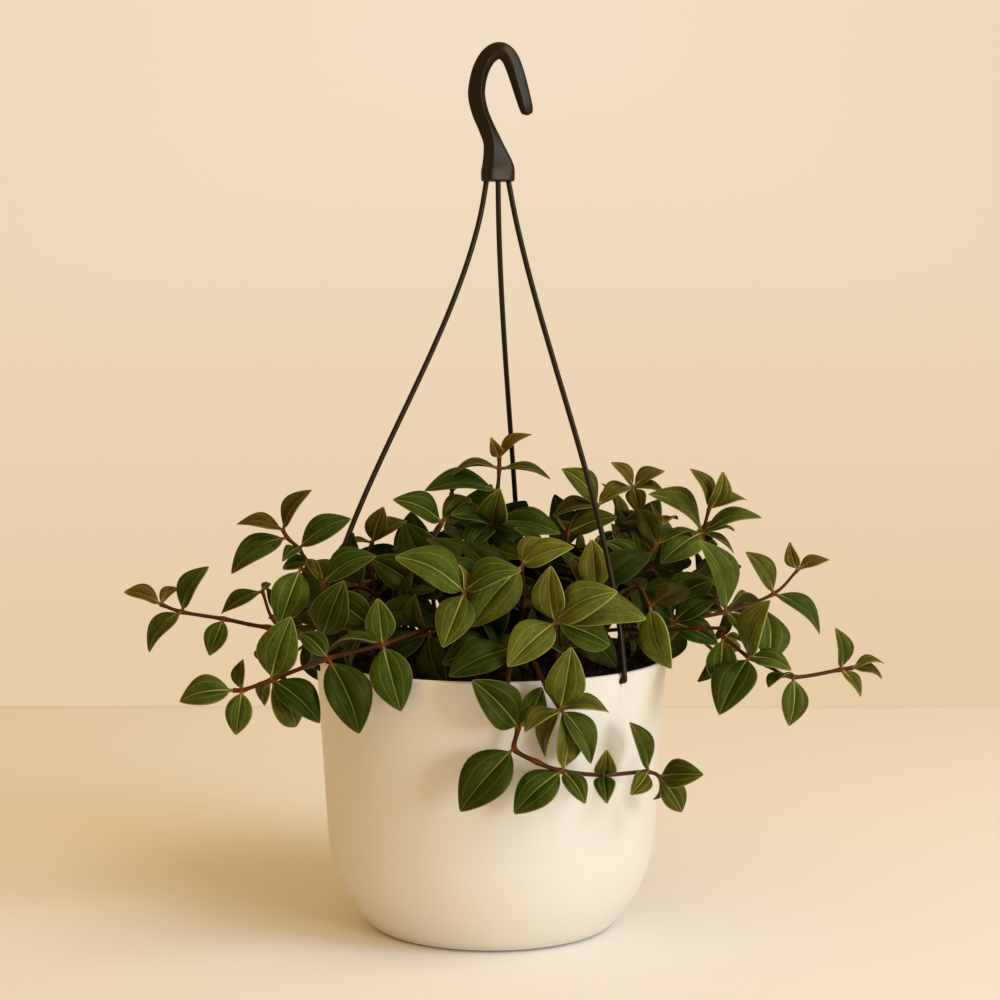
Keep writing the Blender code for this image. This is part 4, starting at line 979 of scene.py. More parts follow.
def leaf_material(settings):
    """A waxy leaf: satin green with three pale veins, a pale margin and a brown, thin edge, paler with
    painted light on some leaves and darker with painted shade on others.
    """
    made, tree, shader, place = new_material("waxy_leaf")
    blade = add(tree, "Attribute", attribute_name="blade").outputs["Vector"]
    growth = add(tree, "Attribute", attribute_name="growth").outputs["Vector"]
    along, across, half = add(tree, "SeparateXYZ", {0: blade}).outputs
    young, tone_light_and_shade, under = add(tree, "SeparateXYZ", {0: growth}).outputs
    side = add(tree, "Math", {0: across}, operation="ABSOLUTE").outputs[0]

    # Distances in millimetres from the middle vein, from a side vein and from the margin
    middle = add(tree, "Math", {0: side, 1: half}, operation="MULTIPLY").outputs[0]
    aside = add(tree, "Math", {0: side, 1: SIDE_VEIN}, operation="SUBTRACT").outputs[0]
    aside = add(tree, "Math", {0: aside}, operation="ABSOLUTE").outputs[0]
    aside = add(tree, "Math", {0: aside, 1: half}, operation="MULTIPLY").outputs[0]
    inside = add(tree, "Math", {0: 1.0, 1: side}, operation="SUBTRACT").outputs[0]
    inside = add(tree, "Math", {0: inside, 1: half}, operation="MULTIPLY").outputs[0]
    width = 0.5 * settings.vein_width / MM
    taper = add(tree, "MapRange", {"Value": along, "To Min": 1.5 * width,
                                   "To Max": 0.5 * width}).outputs[0]
    main = add(tree, "Math", {0: middle, 1: taper}, operation="DIVIDE").outputs[0]
    main = add(tree, "MapRange", {"Value": main, "From Min": 0.5, "From Max": 1.5, "To Min": 0.8,
                                  "To Max": 0.0}, interpolation_type="SMOOTHSTEP").outputs[0]
    minor = add(tree, "MapRange", {"Value": aside, "From Min": 0.2 * width, "From Max": 1.6 * width,
                                   "To Min": 0.17, "To Max": 0.0},
                interpolation_type="SMOOTHSTEP").outputs[0]
    margin = add(tree, "MapRange", {"Value": inside, "From Min": 0.15, "From Max": 0.6,
                                    "To Min": 0.8, "To Max": 0.0}).outputs[0]
    veins = add(tree, "Math", {0: main, 1: minor}, operation="MAXIMUM").outputs[0]
    veins = add(tree, "Math", {0: veins, 1: margin}, operation="MAXIMUM").outputs[0]
    # Veins and the pale margin stand out more on leaves paler with painted light, and fade on leaves
    # darker with painted shade
    clear = add(tree, "MapRange", {"Value": tone_light_and_shade, "From Min": -1.0, "To Min": 0.0,
                                   "To Max": 1.2}).outputs[0]
    veins = add(tree, "Math", {0: veins, 1: clear}, operation="MULTIPLY").outputs[0]

    # The leaf's colour: its own tone with painted light and shade, soft mottling of its cells, and fine
    # streaks along its length
    face = add(tree, "Mix", {"Factor": tone_light_and_shade, 6: settings.dark, 7: settings.light}, data_type="RGBA")
    face = add(tree, "Mix", {"Factor": young, 6: face.outputs[2], 7: settings.young}, data_type="RGBA")
    cells = add(tree, "TexNoise", {"Vector": place, "Scale": 700.0, "Detail": 4.0, "Roughness": 0.7})
    runs = add(tree, "VectorMath", {0: blade, 1: (4.0, 16.0, 1.0)}, operation="MULTIPLY").outputs[0]
    streak = add(tree, "TexNoise", {"Vector": runs, "Scale": 1.0, "Detail": 3.0})
    patch = add(tree, "TexNoise", {"Vector": place, "Scale": 110.0, "Detail": 2.0})
    mottle = add(tree, "Math", {0: cells.outputs["Fac"], 1: streak.outputs["Fac"]}, operation="ADD")
    mottle = add(tree, "Math", {0: mottle.outputs[0], 1: patch.outputs["Fac"]}, operation="ADD")
    mottle = add(tree, "MapRange", {"Value": mottle.outputs[0], "From Min": 1.1, "From Max": 1.9,
                                    "To Min": 0.55, "To Max": 1.5})
    # Painted shade: leaves below zero on the tone scale are darkened, down to 0.4 at the darkest
    shade = add(tree, "MapRange", {"Value": tone_light_and_shade, "From Min": -1.0, "From Max": 0.0, "To Min": 0.4})
    mottle = add(tree, "Math", {0: mottle.outputs[0], 1: shade.outputs[0]}, operation="MULTIPLY")
    face = add(tree, "VectorMath", {0: face.outputs[2], "Scale": mottle.outputs[0]}, operation="SCALE")
    veined = add(tree, "Mix", {"Factor": veins, 6: face.outputs[0], 7: settings.vein}, data_type="RGBA")
    back = add(tree, "Math", {0: under, 1: 0.5}, operation="GREATER_THAN").outputs[0]
    whole = add(tree, "Mix", {"Factor": back, 6: veined.outputs[2], 7: settings.back}, data_type="RGBA")
    rim = add(tree, "MapRange", {"Value": inside, "From Min": 0.02, "From Max": 0.1, "To Min": 0.8,
                                 "To Max": 0.0}).outputs[0]
    whole = add(tree, "Mix", {"Factor": rim, 6: whole.outputs[2], 7: settings.edge}, data_type="RGBA")
    stalk = add(tree, "MapRange", {"Value": along, "From Min": 0.0, "From Max": 0.05, "To Min": 0.7,
                                   "To Max": 0.0}).outputs[0]
    whole = add(tree, "Mix", {"Factor": stalk, 6: whole.outputs[2], 7: settings.node}, data_type="RGBA")
    tree.links.new(whole.outputs[2], shader.inputs["Base Color"])

    rough = add(tree, "MapRange", {"Value": cells.outputs["Fac"], "To Min": 0.36, "To Max": 0.56})
    tree.links.new(rough.outputs[0], shader.inputs["Roughness"])
    groove = add(tree, "Math", {0: 1.0, 1: veins}, operation="SUBTRACT").outputs[0]
    relief = add(tree, "Math", {0: cells.outputs["Fac"], 1: 0.4, 2: groove}, operation="MULTIPLY_ADD")
    bump = add(tree, "Bump", {"Height": relief.outputs[0], "Strength": 0.6, "Distance": 0.0002})
    tree.links.new(bump.outputs[0], shader.inputs["Normal"])
    shader.inputs["IOR"].default_value = 1.45
    shader.inputs["Specular IOR Level"].default_value = 0.16
    shader.inputs["Specular Tint"].default_value = linear("#F0E890")
    return made


def stem_material(settings):
    """A fleshy four-edged stem: red-brown with fine streaks, and a warmer brown at each node."""
    made, tree, shader, place = new_material("fleshy_stem")
    growth = add(tree, "Attribute", attribute_name="growth").outputs["Vector"]
    young, node, _ = add(tree, "SeparateXYZ", {0: growth}).outputs
    streak = add(tree, "TexNoise", {"Vector": place, "Scale": 320.0, "Detail": 3.0})
    tone = add(tree, "Mix", {"Factor": young, 6: settings.stem, 7: settings.stem_pale}, data_type="RGBA")
    faint = add(tree, "MapRange", {"Value": streak.outputs["Fac"], "To Min": 0.7, "To Max": 1.35})
    tone = add(tree, "VectorMath", {0: tone.outputs[2], "Scale": faint.outputs[0]}, operation="SCALE")
    warm = add(tree, "Math", {0: node, 1: 0.65}, operation="MULTIPLY").outputs[0]
    tone = add(tree, "Mix", {"Factor": warm, 6: tone.outputs[0], 7: settings.node}, data_type="RGBA")
    tree.links.new(tone.outputs[2], shader.inputs["Base Color"])
    bump = add(tree, "Bump", {"Height": streak.outputs["Fac"], "Strength": 0.3, "Distance": 0.0001})
    tree.links.new(bump.outputs[0], shader.inputs["Normal"])
    shader.inputs["Roughness"].default_value = 0.42
    shader.inputs["IOR"].default_value = 1.42
    shader.inputs["Specular IOR Level"].default_value = 0.2
    shader.inputs["Specular Tint"].default_value = linear("#FFD8A8")
    return made


def floor_material(settings):
    """Matt emulsion paint on board: even, with a faint roller texture and painted shade along its back
    edge.
    """
    made, tree, shader, place = new_material("matt_emulsion_paint")
    roller = add(tree, "TexNoise", {"Vector": place, "Scale": 260.0, "Detail": 3.0})
    faint = add(tree, "MapRange", {"Value": roller.outputs["Fac"], "To Min": 0.99, "To Max": 1.01})
    depth = add(tree, "SeparateXYZ", {0: place}).outputs["Y"]
    # Painted shade: a band along the back edge is darkened to 90 per cent, where the floor meets the
    # backdrop
    edge = add(tree, "MapRange", {"Value": depth, "From Min": FLOOR_BACK - FLOOR_SHADE_WIDTH,
                                  "From Max": FLOOR_BACK, "To Min": 1.0, "To Max": 0.9},
               interpolation_type="SMOOTHSTEP").outputs[0]
    tone = add(tree, "Math", {0: faint.outputs[0], 1: edge}, operation="MULTIPLY").outputs[0]
    tone = add(tree, "VectorMath", {0: settings.floor[:3], "Scale": tone}, operation="SCALE")
    tree.links.new(tone.outputs[0], shader.inputs["Base Color"])
    shader.inputs["Roughness"].default_value = 0.7
    shader.inputs["Specular IOR Level"].default_value = 0.2
    return made


def piece(name, vertices, faces, *materials):
    """Make a smooth-shaded object from vertices in millimetres, with its faces pointing out."""
    mesh = bpy.data.meshes.new(name)
    mesh.from_pydata([tuple(c * MM for c in v) for v in vertices], [], faces)
    for surface in materials:
        mesh.materials.append(surface)
    mesh.shade_smooth()
    made = bpy.data.objects.new(name, mesh)
    bpy.context.scene.collection.objects.link(made)
    return made


def face_outwards(made):
    """Turn a closed object's faces outwards."""
    work = bmesh.new()
    work.from_mesh(made.data)
    bmesh.ops.recalc_face_normals(work, faces=work.faces)
    work.to_mesh(made.data)
    work.free()


def settle(made, node):
    """Put a piece in place of a node, on the one body."""
    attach(made, "root")
    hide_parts(node)


def lathe(profile, sides):
    """Return vertices and faces of a closed turned shape: its profile starts and ends on itself."""
    vertices = []
    rings = []
    for radius, height in profile:
        if radius < 0.001:
            rings.append([len(vertices)] * sides)
            vertices.append((0.0, 0.0, height))
            continue
        rings.append([len(vertices) + k for k in range(sides)])
        for k in range(sides):
            turn = 2.0 * math.pi * k / sides
            vertices.append((radius * math.cos(turn), radius * math.sin(turn), height))
    faces = []
    for upper, lower in zip(rings, rings[1:] + rings[:1]):
        for k in range(sides):
            after = (k + 1) % sides
            face = list(dict.fromkeys([upper[k], lower[k], lower[after], upper[after]]))
            if len(face) > 2:
                faces.append(face)
    return vertices, faces


def arc(radius, height, size, first, last, steps):
    """Return points on a small arc of a profile, between two angles in degrees."""
    turns = [math.radians(first + (last - first) * k / steps) for k in range(steps + 1)]
    return [(radius + size * math.cos(turn), height + size * math.sin(turn)) for turn in turns]


def pot_profile():
    """Return the pot's profile: outside downwards, the base, then the inside upwards."""
    rim = 0.5 * WALL
    profile = arc(RIM_RADIUS - rim, POT_HEIGHT - rim, rim, 90.0, 0.0, 6)
    profile += [(pot_radius(z), z) for z in np.linspace(120.0, 60.0, 4)]
    profile += [(pot_radius(z), z) for z in np.linspace(55.0, 3.0, 26)]
    corner = pot_radius(FOOT_HEIGHT) - FOOT_ROUND
    profile += arc(corner, FOOT_HEIGHT + FOOT_ROUND, FOOT_ROUND, 0.0, -90.0, 4)
    profile += [(corner - FOOT_INSET, FOOT_HEIGHT), (corner - FOOT_INSET, 0.0)]
    profile += [(0.0, 0.0), (0.0, FLOOR_THICKNESS)]
    profile += [(inner_radius(z), z) for z in np.linspace(FLOOR_THICKNESS, 60.0, 22)]
    profile += [(inner_radius(z), z) for z in (90.0, 120.0)]
    profile += arc(RIM_RADIUS - rim, POT_HEIGHT - rim, rim, 180.0, 105.0, 5)
    return profile


def cylinder_between(name, start, end, radius, sides):
    """Make a closed cylinder between two places."""
    turn = (end - start).to_track_quat("Z", "Y").to_matrix()
    vertices = []
    for centre in (start, end):
        for k in range(sides):
            angle = 2.0 * math.pi * (k + 0.5) / sides
            vertices.append(centre + turn @ Vector((math.cos(angle), math.sin(angle), 0.0)) * radius)
    faces = walls(2, sides)
    faces.append(list(range(sides))[::-1])
    faces.append([sides + k for k in range(sides)])
    return piece(name, vertices, faces)


def make_pot(settings):
    """Make the pot, with a hole for each strand's foot."""
    pot = piece("pot_shell", *lathe(pot_profile(), POT_SIDES), pot_material(settings))
    face_outwards(pot)
    holes = bpy.data.collections.new("foot_holes")
    for name, degrees in STRAND_BEARINGS.items():
        out = bearing(degrees).to_3d()
        foot = Vector((0.0, 0.0, STRAND_FOOT_HEIGHT))
        hole = cylinder_between(name + "_hole", out * (RIM_RADIUS - HOLE_INSIDE) + foot,
                                out * (RIM_RADIUS + HOLE_OUTSIDE) + foot,
                                STRAND_RADIUS + HOLE_PLAY, HOLE_SIDES)
        bpy.context.scene.collection.objects.unlink(hole)
        holes.objects.link(hole)
    cut = pot.modifiers.new("foot holes", "BOOLEAN")
    cut.operation = "DIFFERENCE"
    cut.operand_type = "COLLECTION"
    cut.collection = holes
    graph = bpy.context.evaluated_depsgraph_get()
    pierced = bpy.data.meshes.new_from_object(pot.evaluated_get(graph))
    pot.modifiers.clear()
    pot.data = pierced
    for hole in list(holes.objects):
        bpy.data.objects.remove(hole, do_unlink=True)
    bpy.data.collections.remove(holes)
    pot.data.shade_smooth()
    pot.data.set_sharp_from_angle(angle=math.radians(35.0))
    settle(pot, "pot")


def crumb(draw, size):
    """Return a crumb of soil: a lumpy little ball, from a subdivided icosahedron."""
    work = bmesh.new()
    bmesh.ops.create_icosphere(work, subdivisions=2, radius=1.0)
    shift = Vector((draw.uniform(0.0, 50.0), draw.uniform(0.0, 50.0), 0.0))
    shape = Vector((draw.uniform(0.7, 1.3), draw.uniform(0.7, 1.3), draw.uniform(0.5, 0.9)))
    spin = Matrix.Rotation(draw.uniform(0.0, 6.28), 3, "Z")
    vertices = []
    for vertex in work.verts:
        lump = 1.0 + 0.45 * noise.noise(vertex.co * 1.3 + shift)
        vertices.append(spin @ (vertex.co * shape) * lump * size)
    faces = [[v.index for v in face.verts] for face in work.faces]
    work.free()
    return vertices, faces


def make_soil(settings):
    """Make the soil: an uneven top with crumbs pressed into it, over the plug that fills the pot."""
    draw = random.Random(LOOKS_SEED)
    rings = [(SOIL_RADIUS * k / SOIL_RINGS, SOIL_TOP) for k in range(SOIL_RINGS + 1)]
    depths = [64.0, 38.0, 20.0, 9.0, FLOOR_THICKNESS + GAP]
    below = [(inner_radius(z) - SOIL_INSET, z) for z in depths]
    vertices, faces = lathe(rings + below + [(0.0, FLOOR_THICKNESS + GAP)], SOIL_SECTORS)
    for k, (x, y, z) in enumerate(vertices):
        if z > SOIL_TOP - 1.0:
            place = Vector((x, y, 0.0))
            rough = noise.fractal(place * 0.16, 1.0, 2.0, 4) + 0.6 * noise.noise(place * 0.7)
            inset = min(1.0, (SOIL_RADIUS - math.hypot(x, y)) / 4.0)
            vertices[k] = (x, y, soil_height(x, y) + 0.9 * rough * inset)
    size = settings.crumb / MM
    for _ in range(CRUMBS):
        reach = (SOIL_RADIUS - 2.5) * math.sqrt(draw.random())
        turn = draw.uniform(0.0, 2.0 * math.pi)
        x, y = reach * math.cos(turn), reach * math.sin(turn)
        width = 0.5 * size * draw.uniform(0.35, 1.0) ** 1.4
        lump, lump_faces = crumb(draw, width)
        centre = Vector((x, y, soil_height(x, y) + 0.25 * width))
        faces += [[index + len(vertices) for index in face] for face in lump_faces]
        vertices += [vertex + centre for vertex in lump]
    soil = piece("soil_bed", vertices, faces, soil_material(settings))
    face_outwards(soil)
    settle(soil, "soil")


def between(values, place):
    """Return a smooth value, or row of values, between the rows of a list."""
    k = min(int(place), len(values) - 2)
    rows = [np.array(values[min(max(k + j, 0), len(values) - 1)]) for j in (-1, 0, 1, 2)]
    return curve_point(*rows, place - k)


def rounded(corners, share, steps):
    """Return a polygon's points with each corner rounded off by a curve between its sides."""
    points = []
    count = len(corners)
    for k, corner in enumerate(corners):
        start = corner.lerp(corners[k - 1], share)
        end = corner.lerp(corners[(k + 1) % count], share)
        for j in range(steps + 1):
            t = j / steps
            points.append(start.lerp(corner, t).lerp(corner.lerp(end, t), t))
    return points


def hook_section(half_width, half_depth, ridge):
    """Return the eight corners of the hook's section: flat sides, and a blunt ridge each way."""
    shape = [(-1.0, 0.40), (-1.0, -0.36), (ridge - RIDGE_FLAT, -0.98), (ridge + RIDGE_FLAT, -0.98),
             (1.0, -0.40), (1.0, 0.36), (RIDGE_FLAT - ridge, 0.98), (-RIDGE_FLAT - ridge, 0.98)]
    return [Vector((x * half_width, y * half_depth)) for x, y in shape]


def make_hook(settings):
    """Make the hook: a smooth bar with soft ridges, a fan-shaped base and a blunt tip."""
    last = len(HOOK_STATIONS) - 1
    places = [last * (k / (HOOK_RINGS - 1)) for k in range(HOOK_RINGS)]
    rings = []
    for place in places:
        x, z, half_width, half_depth, ridge = between(HOOK_STATIONS, place)
        step = 0.02
        before = between(HOOK_STATIONS, max(place - step, 0.0))
        after = between(HOOK_STATIONS, min(place + step, float(last)))
        run = Vector((after[0] - before[0], after[1] - before[1])).normalized()
        if place < 1.0:
            run = Vector((0.0, 1.0)).lerp(run, place).normalized()
        corners = hook_section(half_width, half_depth, ridge)
        ring = rounded(corners, CORNER_SHARE, CORNER_STEPS)
        rings.append((x, z, run, ring))
    vertices = []
    x, z, run, ring = rings[0]
    foot = [(x, z + 0.15, run, [p * 0.96 for p in ring]), (x, z, run, [p * 0.90 for p in ring])]
    rings = [foot[1], foot[0], (x, z + 0.7, run, ring)] + rings[1:]
    x, z, run, ring = rings[-1]
    rings = rings[:-TIP_RINGS]
    for k in range(TIP_STEPS + 1):
        turn = 0.5 * math.pi * k / TIP_STEPS
        back = TIP_ROUND * (1.0 - math.sin(turn))
        share = 1.0 - TIP_SHRINK * (1.0 - math.cos(turn))
        rings.append((x - run.x * back, z - run.y * back, run, [p * share for p in ring]))
    for x, z, run, ring in rings:
        for side, depth in ring:
            vertices.append((x + run.y * side, depth, z - run.x * side))
    sides = len(rings[0][3])
    faces = [list(range(sides))[::-1]] + walls(len(rings), sides)
    faces.append([sides * (len(rings) - 1) + j for j in range(sides)])
    hook = piece("hook_crook", vertices, faces, hanger_material(settings))
    face_outwards(hook)
    hook.data.set_sharp_from_angle(angle=math.radians(50.0))
    settle(hook, "hook")


def make_strands(settings):
    """Make the three stiff moulded strands, each with its foot turned in through the pot."""
    surface = hanger_material(settings)
    for name in STRAND_BEARINGS:
        route = strand_route(name)
        points = []
        for k in range(len(route) - 1):
            for j in range(STRAND_STEPS):
                points.append(Vector(between(route, k + j / STRAND_STEPS)))
        points.append(route[-1])
        curve = bpy.data.curves.new(name + "_rod", "CURVE")
        curve.dimensions = "3D"
        curve.bevel_depth = ROD_SHARE * STRAND_RADIUS * MM
        curve.bevel_resolution = 6
        curve.use_fill_caps = True
        spline = curve.splines.new("POLY")
        spline.points.add(len(points) - 1)
        for point, place in zip(spline.points, points):
            point.co = (*(place * MM), 1.0)
        spline.use_smooth = True
        rod = bpy.data.objects.new(name + "_rod", curve)
        bpy.context.scene.collection.objects.link(rod)
        curve.materials.append(surface)
        settle(rod, name)


def fine_route(stem):
    """Return a stem's route in finer steps, with each point's distance to the nearest node."""
    points = []
    last = len(stem.points) - 1
    for k in range(last):
        for j in range(ROUTE_STEPS):
            points.append(Vector(between(stem.points, k + j / ROUTE_STEPS)))
    points.append(stem.points[-1])
    nodes = [stem.points[mark] for mark in stem.marks]
    near = [min((point - node).length for node in nodes) for point in points]
    return points, near


def fine_stem(stem):
    """Return a square stem with soft edges that swells at its nodes, and its growth values."""
    points, near = fine_route(stem)
    last = len(points) - 1
    vertices = []
    growth = []
    side = Vector((1.0, 0.0, 0.0))
    before = Vector((0.0, 0.0, 1.0))
    for k, point in enumerate(points):
        run = (points[min(k + 1, last)] - points[max(k - 1, 0)]).normalized()
        side.rotate(before.rotation_difference(run))
        before = run
        other = run.cross(side)
        part = k / last
        swell = math.exp(-(near[k] / NODE_LENGTH) ** 2)
        radius = STEM_SHARE * (STEM_RADIUS + (STEM_TIP_RADIUS - STEM_RADIUS) * part)
        radius *= 1.0 + NODE_SWELL * swell
        for j in range(STEM_SIDES):
            turn = 2.0 * math.pi * j / STEM_SIDES
            square = 0.86 + 0.14 * math.cos(4.0 * turn)
            way = side * math.cos(turn) + other * math.sin(turn)
            vertices.append(point + way * radius * square)
            growth.append((part ** 2, swell, 0.0))
    faces = [list(range(STEM_SIDES))[::-1]] + walls(last + 1, STEM_SIDES)
    faces += cone(len(vertices), STEM_SIDES)
    vertices.append(points[-1] + before * STEM_POINT)
    growth.append((1.0, 1.0, 0.0))
    return vertices, faces, growth


def blade_lift(across, part, form):
    """Return how far a blade's face lies above its middle line, as a share of its half width."""
    swell = math.sin(math.pi * min(1.0, max(part, 0.02))) ** 0.6
    reach = abs(across)
    quilt = math.sin(math.pi * min(1.0, reach / SIDE_VEIN)) if reach < SIDE_VEIN else 0.7 * math.sin(
        math.pi * (reach - SIDE_VEIN) / (1.0 - SIDE_VEIN))
    return swell * (form["fold"] * reach + form["bulge"] * math.sin(math.pi * reach ** 0.8)
                    + form["quilt"] * quilt - form["droop"] * reach ** 3)


def fine_leaf(leaf, form, thickness):
    """Return a fleshy leaf on its stalk, with its blade and growth values at each vertex."""
    vertices = []
    blade = []
    growth = []
    places = list(TOP_PLACES) + [-u for u in TOP_PLACES[-2::-1]]
    lower = list(UNDER_PLACES) + [-u for u in UNDER_PLACES[-2::-1]]
    rings = [(-BLADE_SINK / leaf.length, 0.0), (0.35 * PETIOLE, 0.0)]
    rings += [(PETIOLE + (1.0 - PETIOLE) * part, part) for part in BLADE_STATIONS]
    length = leaf.length
    for along, part in rings:
        half = max(STALK_RADIUS, blade_half_width(part) * leaf.width) if part else STALK_RADIUS
        flat = min(1.0, part / STALK_BLEND)
        thick = STALK_RADIUS + (0.5 * thickness - STALK_RADIUS) * flat
        thick *= 1.0 - TIP_THINNING * part
        rise = 4.0 * BLADE_ARCH * length * along * (1.0 - along) * form["arch"]
        rise -= form["curl"] * length * max(0.0, along - CURL_START) ** 2
        sway = form["sway"] * length * math.sin(math.pi * along)
        wave = form["wave"] * math.sin(form["phase"] + 7.0 * along)
        centre = leaf.base + leaf.axis * length * along + leaf.normal * rise + leaf.side * sway
        for number, across in enumerate(places + lower):
            under = number >= len(places)
            edge = math.sqrt(max(0.0, 1.0 - across * across))
            lift = blade_lift(across, part, form) * half * flat
            lift += wave * across * abs(across) * flat
            if under:
                rib = math.exp(-(across * half / RIB_WIDTH) ** 2)
                lift -= thick * edge + RIB_HEIGHT * flat * (1.0 - part) * rib
            else:
                groove = math.exp(-(across * half / GROOVE_WIDTH) ** 2)
                lift += thick * edge - GROOVE_DEPTH * flat * groove
            vertices.append(centre + leaf.side * half * across + leaf.normal * lift)
            blade.append((max(part, 0.0), across, half))
            growth.append((form["young"], form["tone_light_and_shade"], 1.0 if under else 0.0))
    sides = len(places) + len(lower)
    faces = [tuple(range(sides))[::-1]] + walls(len(rings), sides) + cone(len(vertices), sides)
    tip = leaf.base + leaf.axis * length
    tip -= leaf.normal * form["curl"] * length * (1.0 - CURL_START) ** 2
    vertices.append(tip)
    blade.append((1.0, 0.0, 0.2))
    growth.append((form["young"], form["tone_light_and_shade"], 0.0))
    return vertices, faces, blade, growth


def leaf_form(draw, stem, number):
    """Draw how a leaf is folded, curled and coloured, from its size and its place on the plant."""
    leaf = stem.leaves[number][0]
    small = min(1.0, max(0.0, (30.0 - leaf.length) / 16.0))
    tipward = 1.0 if leaf.age == 0 else (0.45 if leaf.age == 1 else 0.0)
    # Painted shade deep in the crown: it takes away a leaf's paleness and darkens it
    middle = leaf.base + 0.5 * leaf.length * leaf.axis
    outward = Vector([(middle[k] - CROWN_CENTRE[k]) / CROWN_REACH[k] for k in range(3)]).length
    crown_shade = min(1.0, max(0.0, (SHADE_OUTSIDE - outward) / (SHADE_OUTSIDE - SHADE_INSIDE)))
    bronze = BRONZE_STEMS.get(stem.name, 0.6)
    # Paleness: partly the leaves' own colour, partly painted light on the lit stems at the front; below
    # zero it is painted shade
    tone_light_and_shade = PALE_AND_LIT_STEMS.get(stem.name, 0.02) + draw.uniform(-0.1, 0.16)
    tone_light_and_shade = max(0.0, tone_light_and_shade) * (1.0 - crown_shade) - crown_shade
    tone_light_and_shade += LEAF_TONES_AND_SHADE.get(stem.name, {}).get(number, 0.0)
    return {
        "fold": 0.24 + 0.2 * small * draw.random() + draw.uniform(0.0, 0.2),
        "bulge": draw.uniform(0.08, 0.16),
        "quilt": draw.uniform(0.02, 0.05),
        "droop": draw.uniform(0.04, 0.18),
        "arch": draw.uniform(0.8, 1.3),
        "curl": draw.uniform(0.0, 0.45),
        "sway": draw.uniform(-0.02, 0.02),
        "wave": draw.uniform(-0.5, 0.5),
        "phase": draw.uniform(0.0, 6.28),
        "young": min(1.0, max(0.0, bronze * tipward * min(1.0, 1.3 * small) + draw.uniform(-0.05, 0.1))),
        "tone_light_and_shade": min(1.2, max(-1.0, tone_light_and_shade)),
    }


def set_vectors(mesh, name, values):
    """Store three numbers at each vertex, which a material reads by name."""
    layer = mesh.attributes.new(name, "FLOAT_VECTOR", "POINT")
    layer.data.foreach_set("vector", np.array(values, dtype=np.float32).ravel())


def make_stems(settings):
    """Make each leafy stem: the stem, its leaf stalks and its leaves."""
    draw = random.Random(LOOKS_SEED)
    leaf_surface = leaf_material(settings)
    stem_surface = stem_material(settings)
    crowd = Crowd()
    crowd.add_object(frame["nodes"]["pot"])
    fences = []
    for name in STRAND_BEARINGS:
        route = strand_route(name)
        for a, b in zip(route, route[1:]):
            steps = max(1, round((b - a).length / STEM_STEP))
            fences += [a.lerp(b, k / steps) for k in range(steps)]
            rod = cylinder_between("rod", a, b, STRAND_RADIUS, 8)
            crowd.add_object(rod)
            bpy.data.objects.remove(rod, do_unlink=True)
    stems = grow_stems(fences)
    for key, stem in enumerate(stems):
        crowd.add(key, *stem_mesh(stem))
    place_leaves(stems, crowd)
    for stem in stems:
        vertices, faces, growth = fine_stem(stem)
        blade = [(0.0, 0.0, 1.0)] * len(vertices)
        stem_faces = len(faces)
        for number, (leaf, _, _) in enumerate(stem.leaves):
            form = leaf_form(draw, stem, number)
            more, more_faces, more_blade, more_growth = fine_leaf(leaf, form, settings.thickness / MM)
            start = len(vertices)
            vertices += more
            faces += [tuple(index + start for index in face) for face in more_faces]
            blade += more_blade
            growth += more_growth
        made = piece(stem.name + "_leafy", vertices, faces, leaf_surface, stem_surface)
        slots = np.zeros(len(faces), dtype=np.int32)
        slots[:stem_faces] = 1
        made.data.polygons.foreach_set("material_index", slots)
        set_vectors(made.data, "blade", blade)
        set_vectors(made.data, "growth", growth)
        face_outwards(made)
        settle(made, stem.name)


def aim(obj, target):
    """Turn a light or camera to face a place."""
    obj.rotation_euler = (Vector(target) - obj.location).to_track_quat("-Z", "Y").to_euler()


# Camera, from the photographed view: an 80 mm lens on a 36 mm sensor, a little above the plant
CAMERA_PLACE = (0.0044, -1.142, 0.312)
CAMERA_PITCH = 4.6
CAMERA_LENS = 80.0

# Stage in metres: the floor ends at its back edge, and the backdrop is far behind
FLOOR_BACK = 0.646
FLOOR_REACH = 4.0
FLOOR_DEPTH = 0.02
# Width of the painted shade along the floor's back edge
FLOOR_SHADE_WIDTH = 0.02
KEY_PLACE = (2.27, -1.47, 1.54)
KEY_SIZE = 1.2
KEY_TARGET = (0.0, 0.0, 0.14)
TOP_PLACE = (1.1, -0.7, 1.9)
TOP_SIZE = 1.0
TOP_TARGET = (0.0, 0.0, 0.0)
FILL_PLACE = (1.5, -1.9, 0.5)
FILL_SIZE = 0.8
FILL_TARGET = (0.0, 0.0, 0.1)

# Backdrop: between which heights of a view's direction it gets lighter, and how light it gets in
# the middle and towards its sides
BACKDROP_LOW = -0.16
BACKDROP_HIGH = 0.12
BACKDROP_SIDE = 0.22
BACKDROP_MIDDLE_SHARE = 1.05
BACKDROP_SIDE_SHARE = 0.62
BACKDROP_SOFTNESS = 0.25


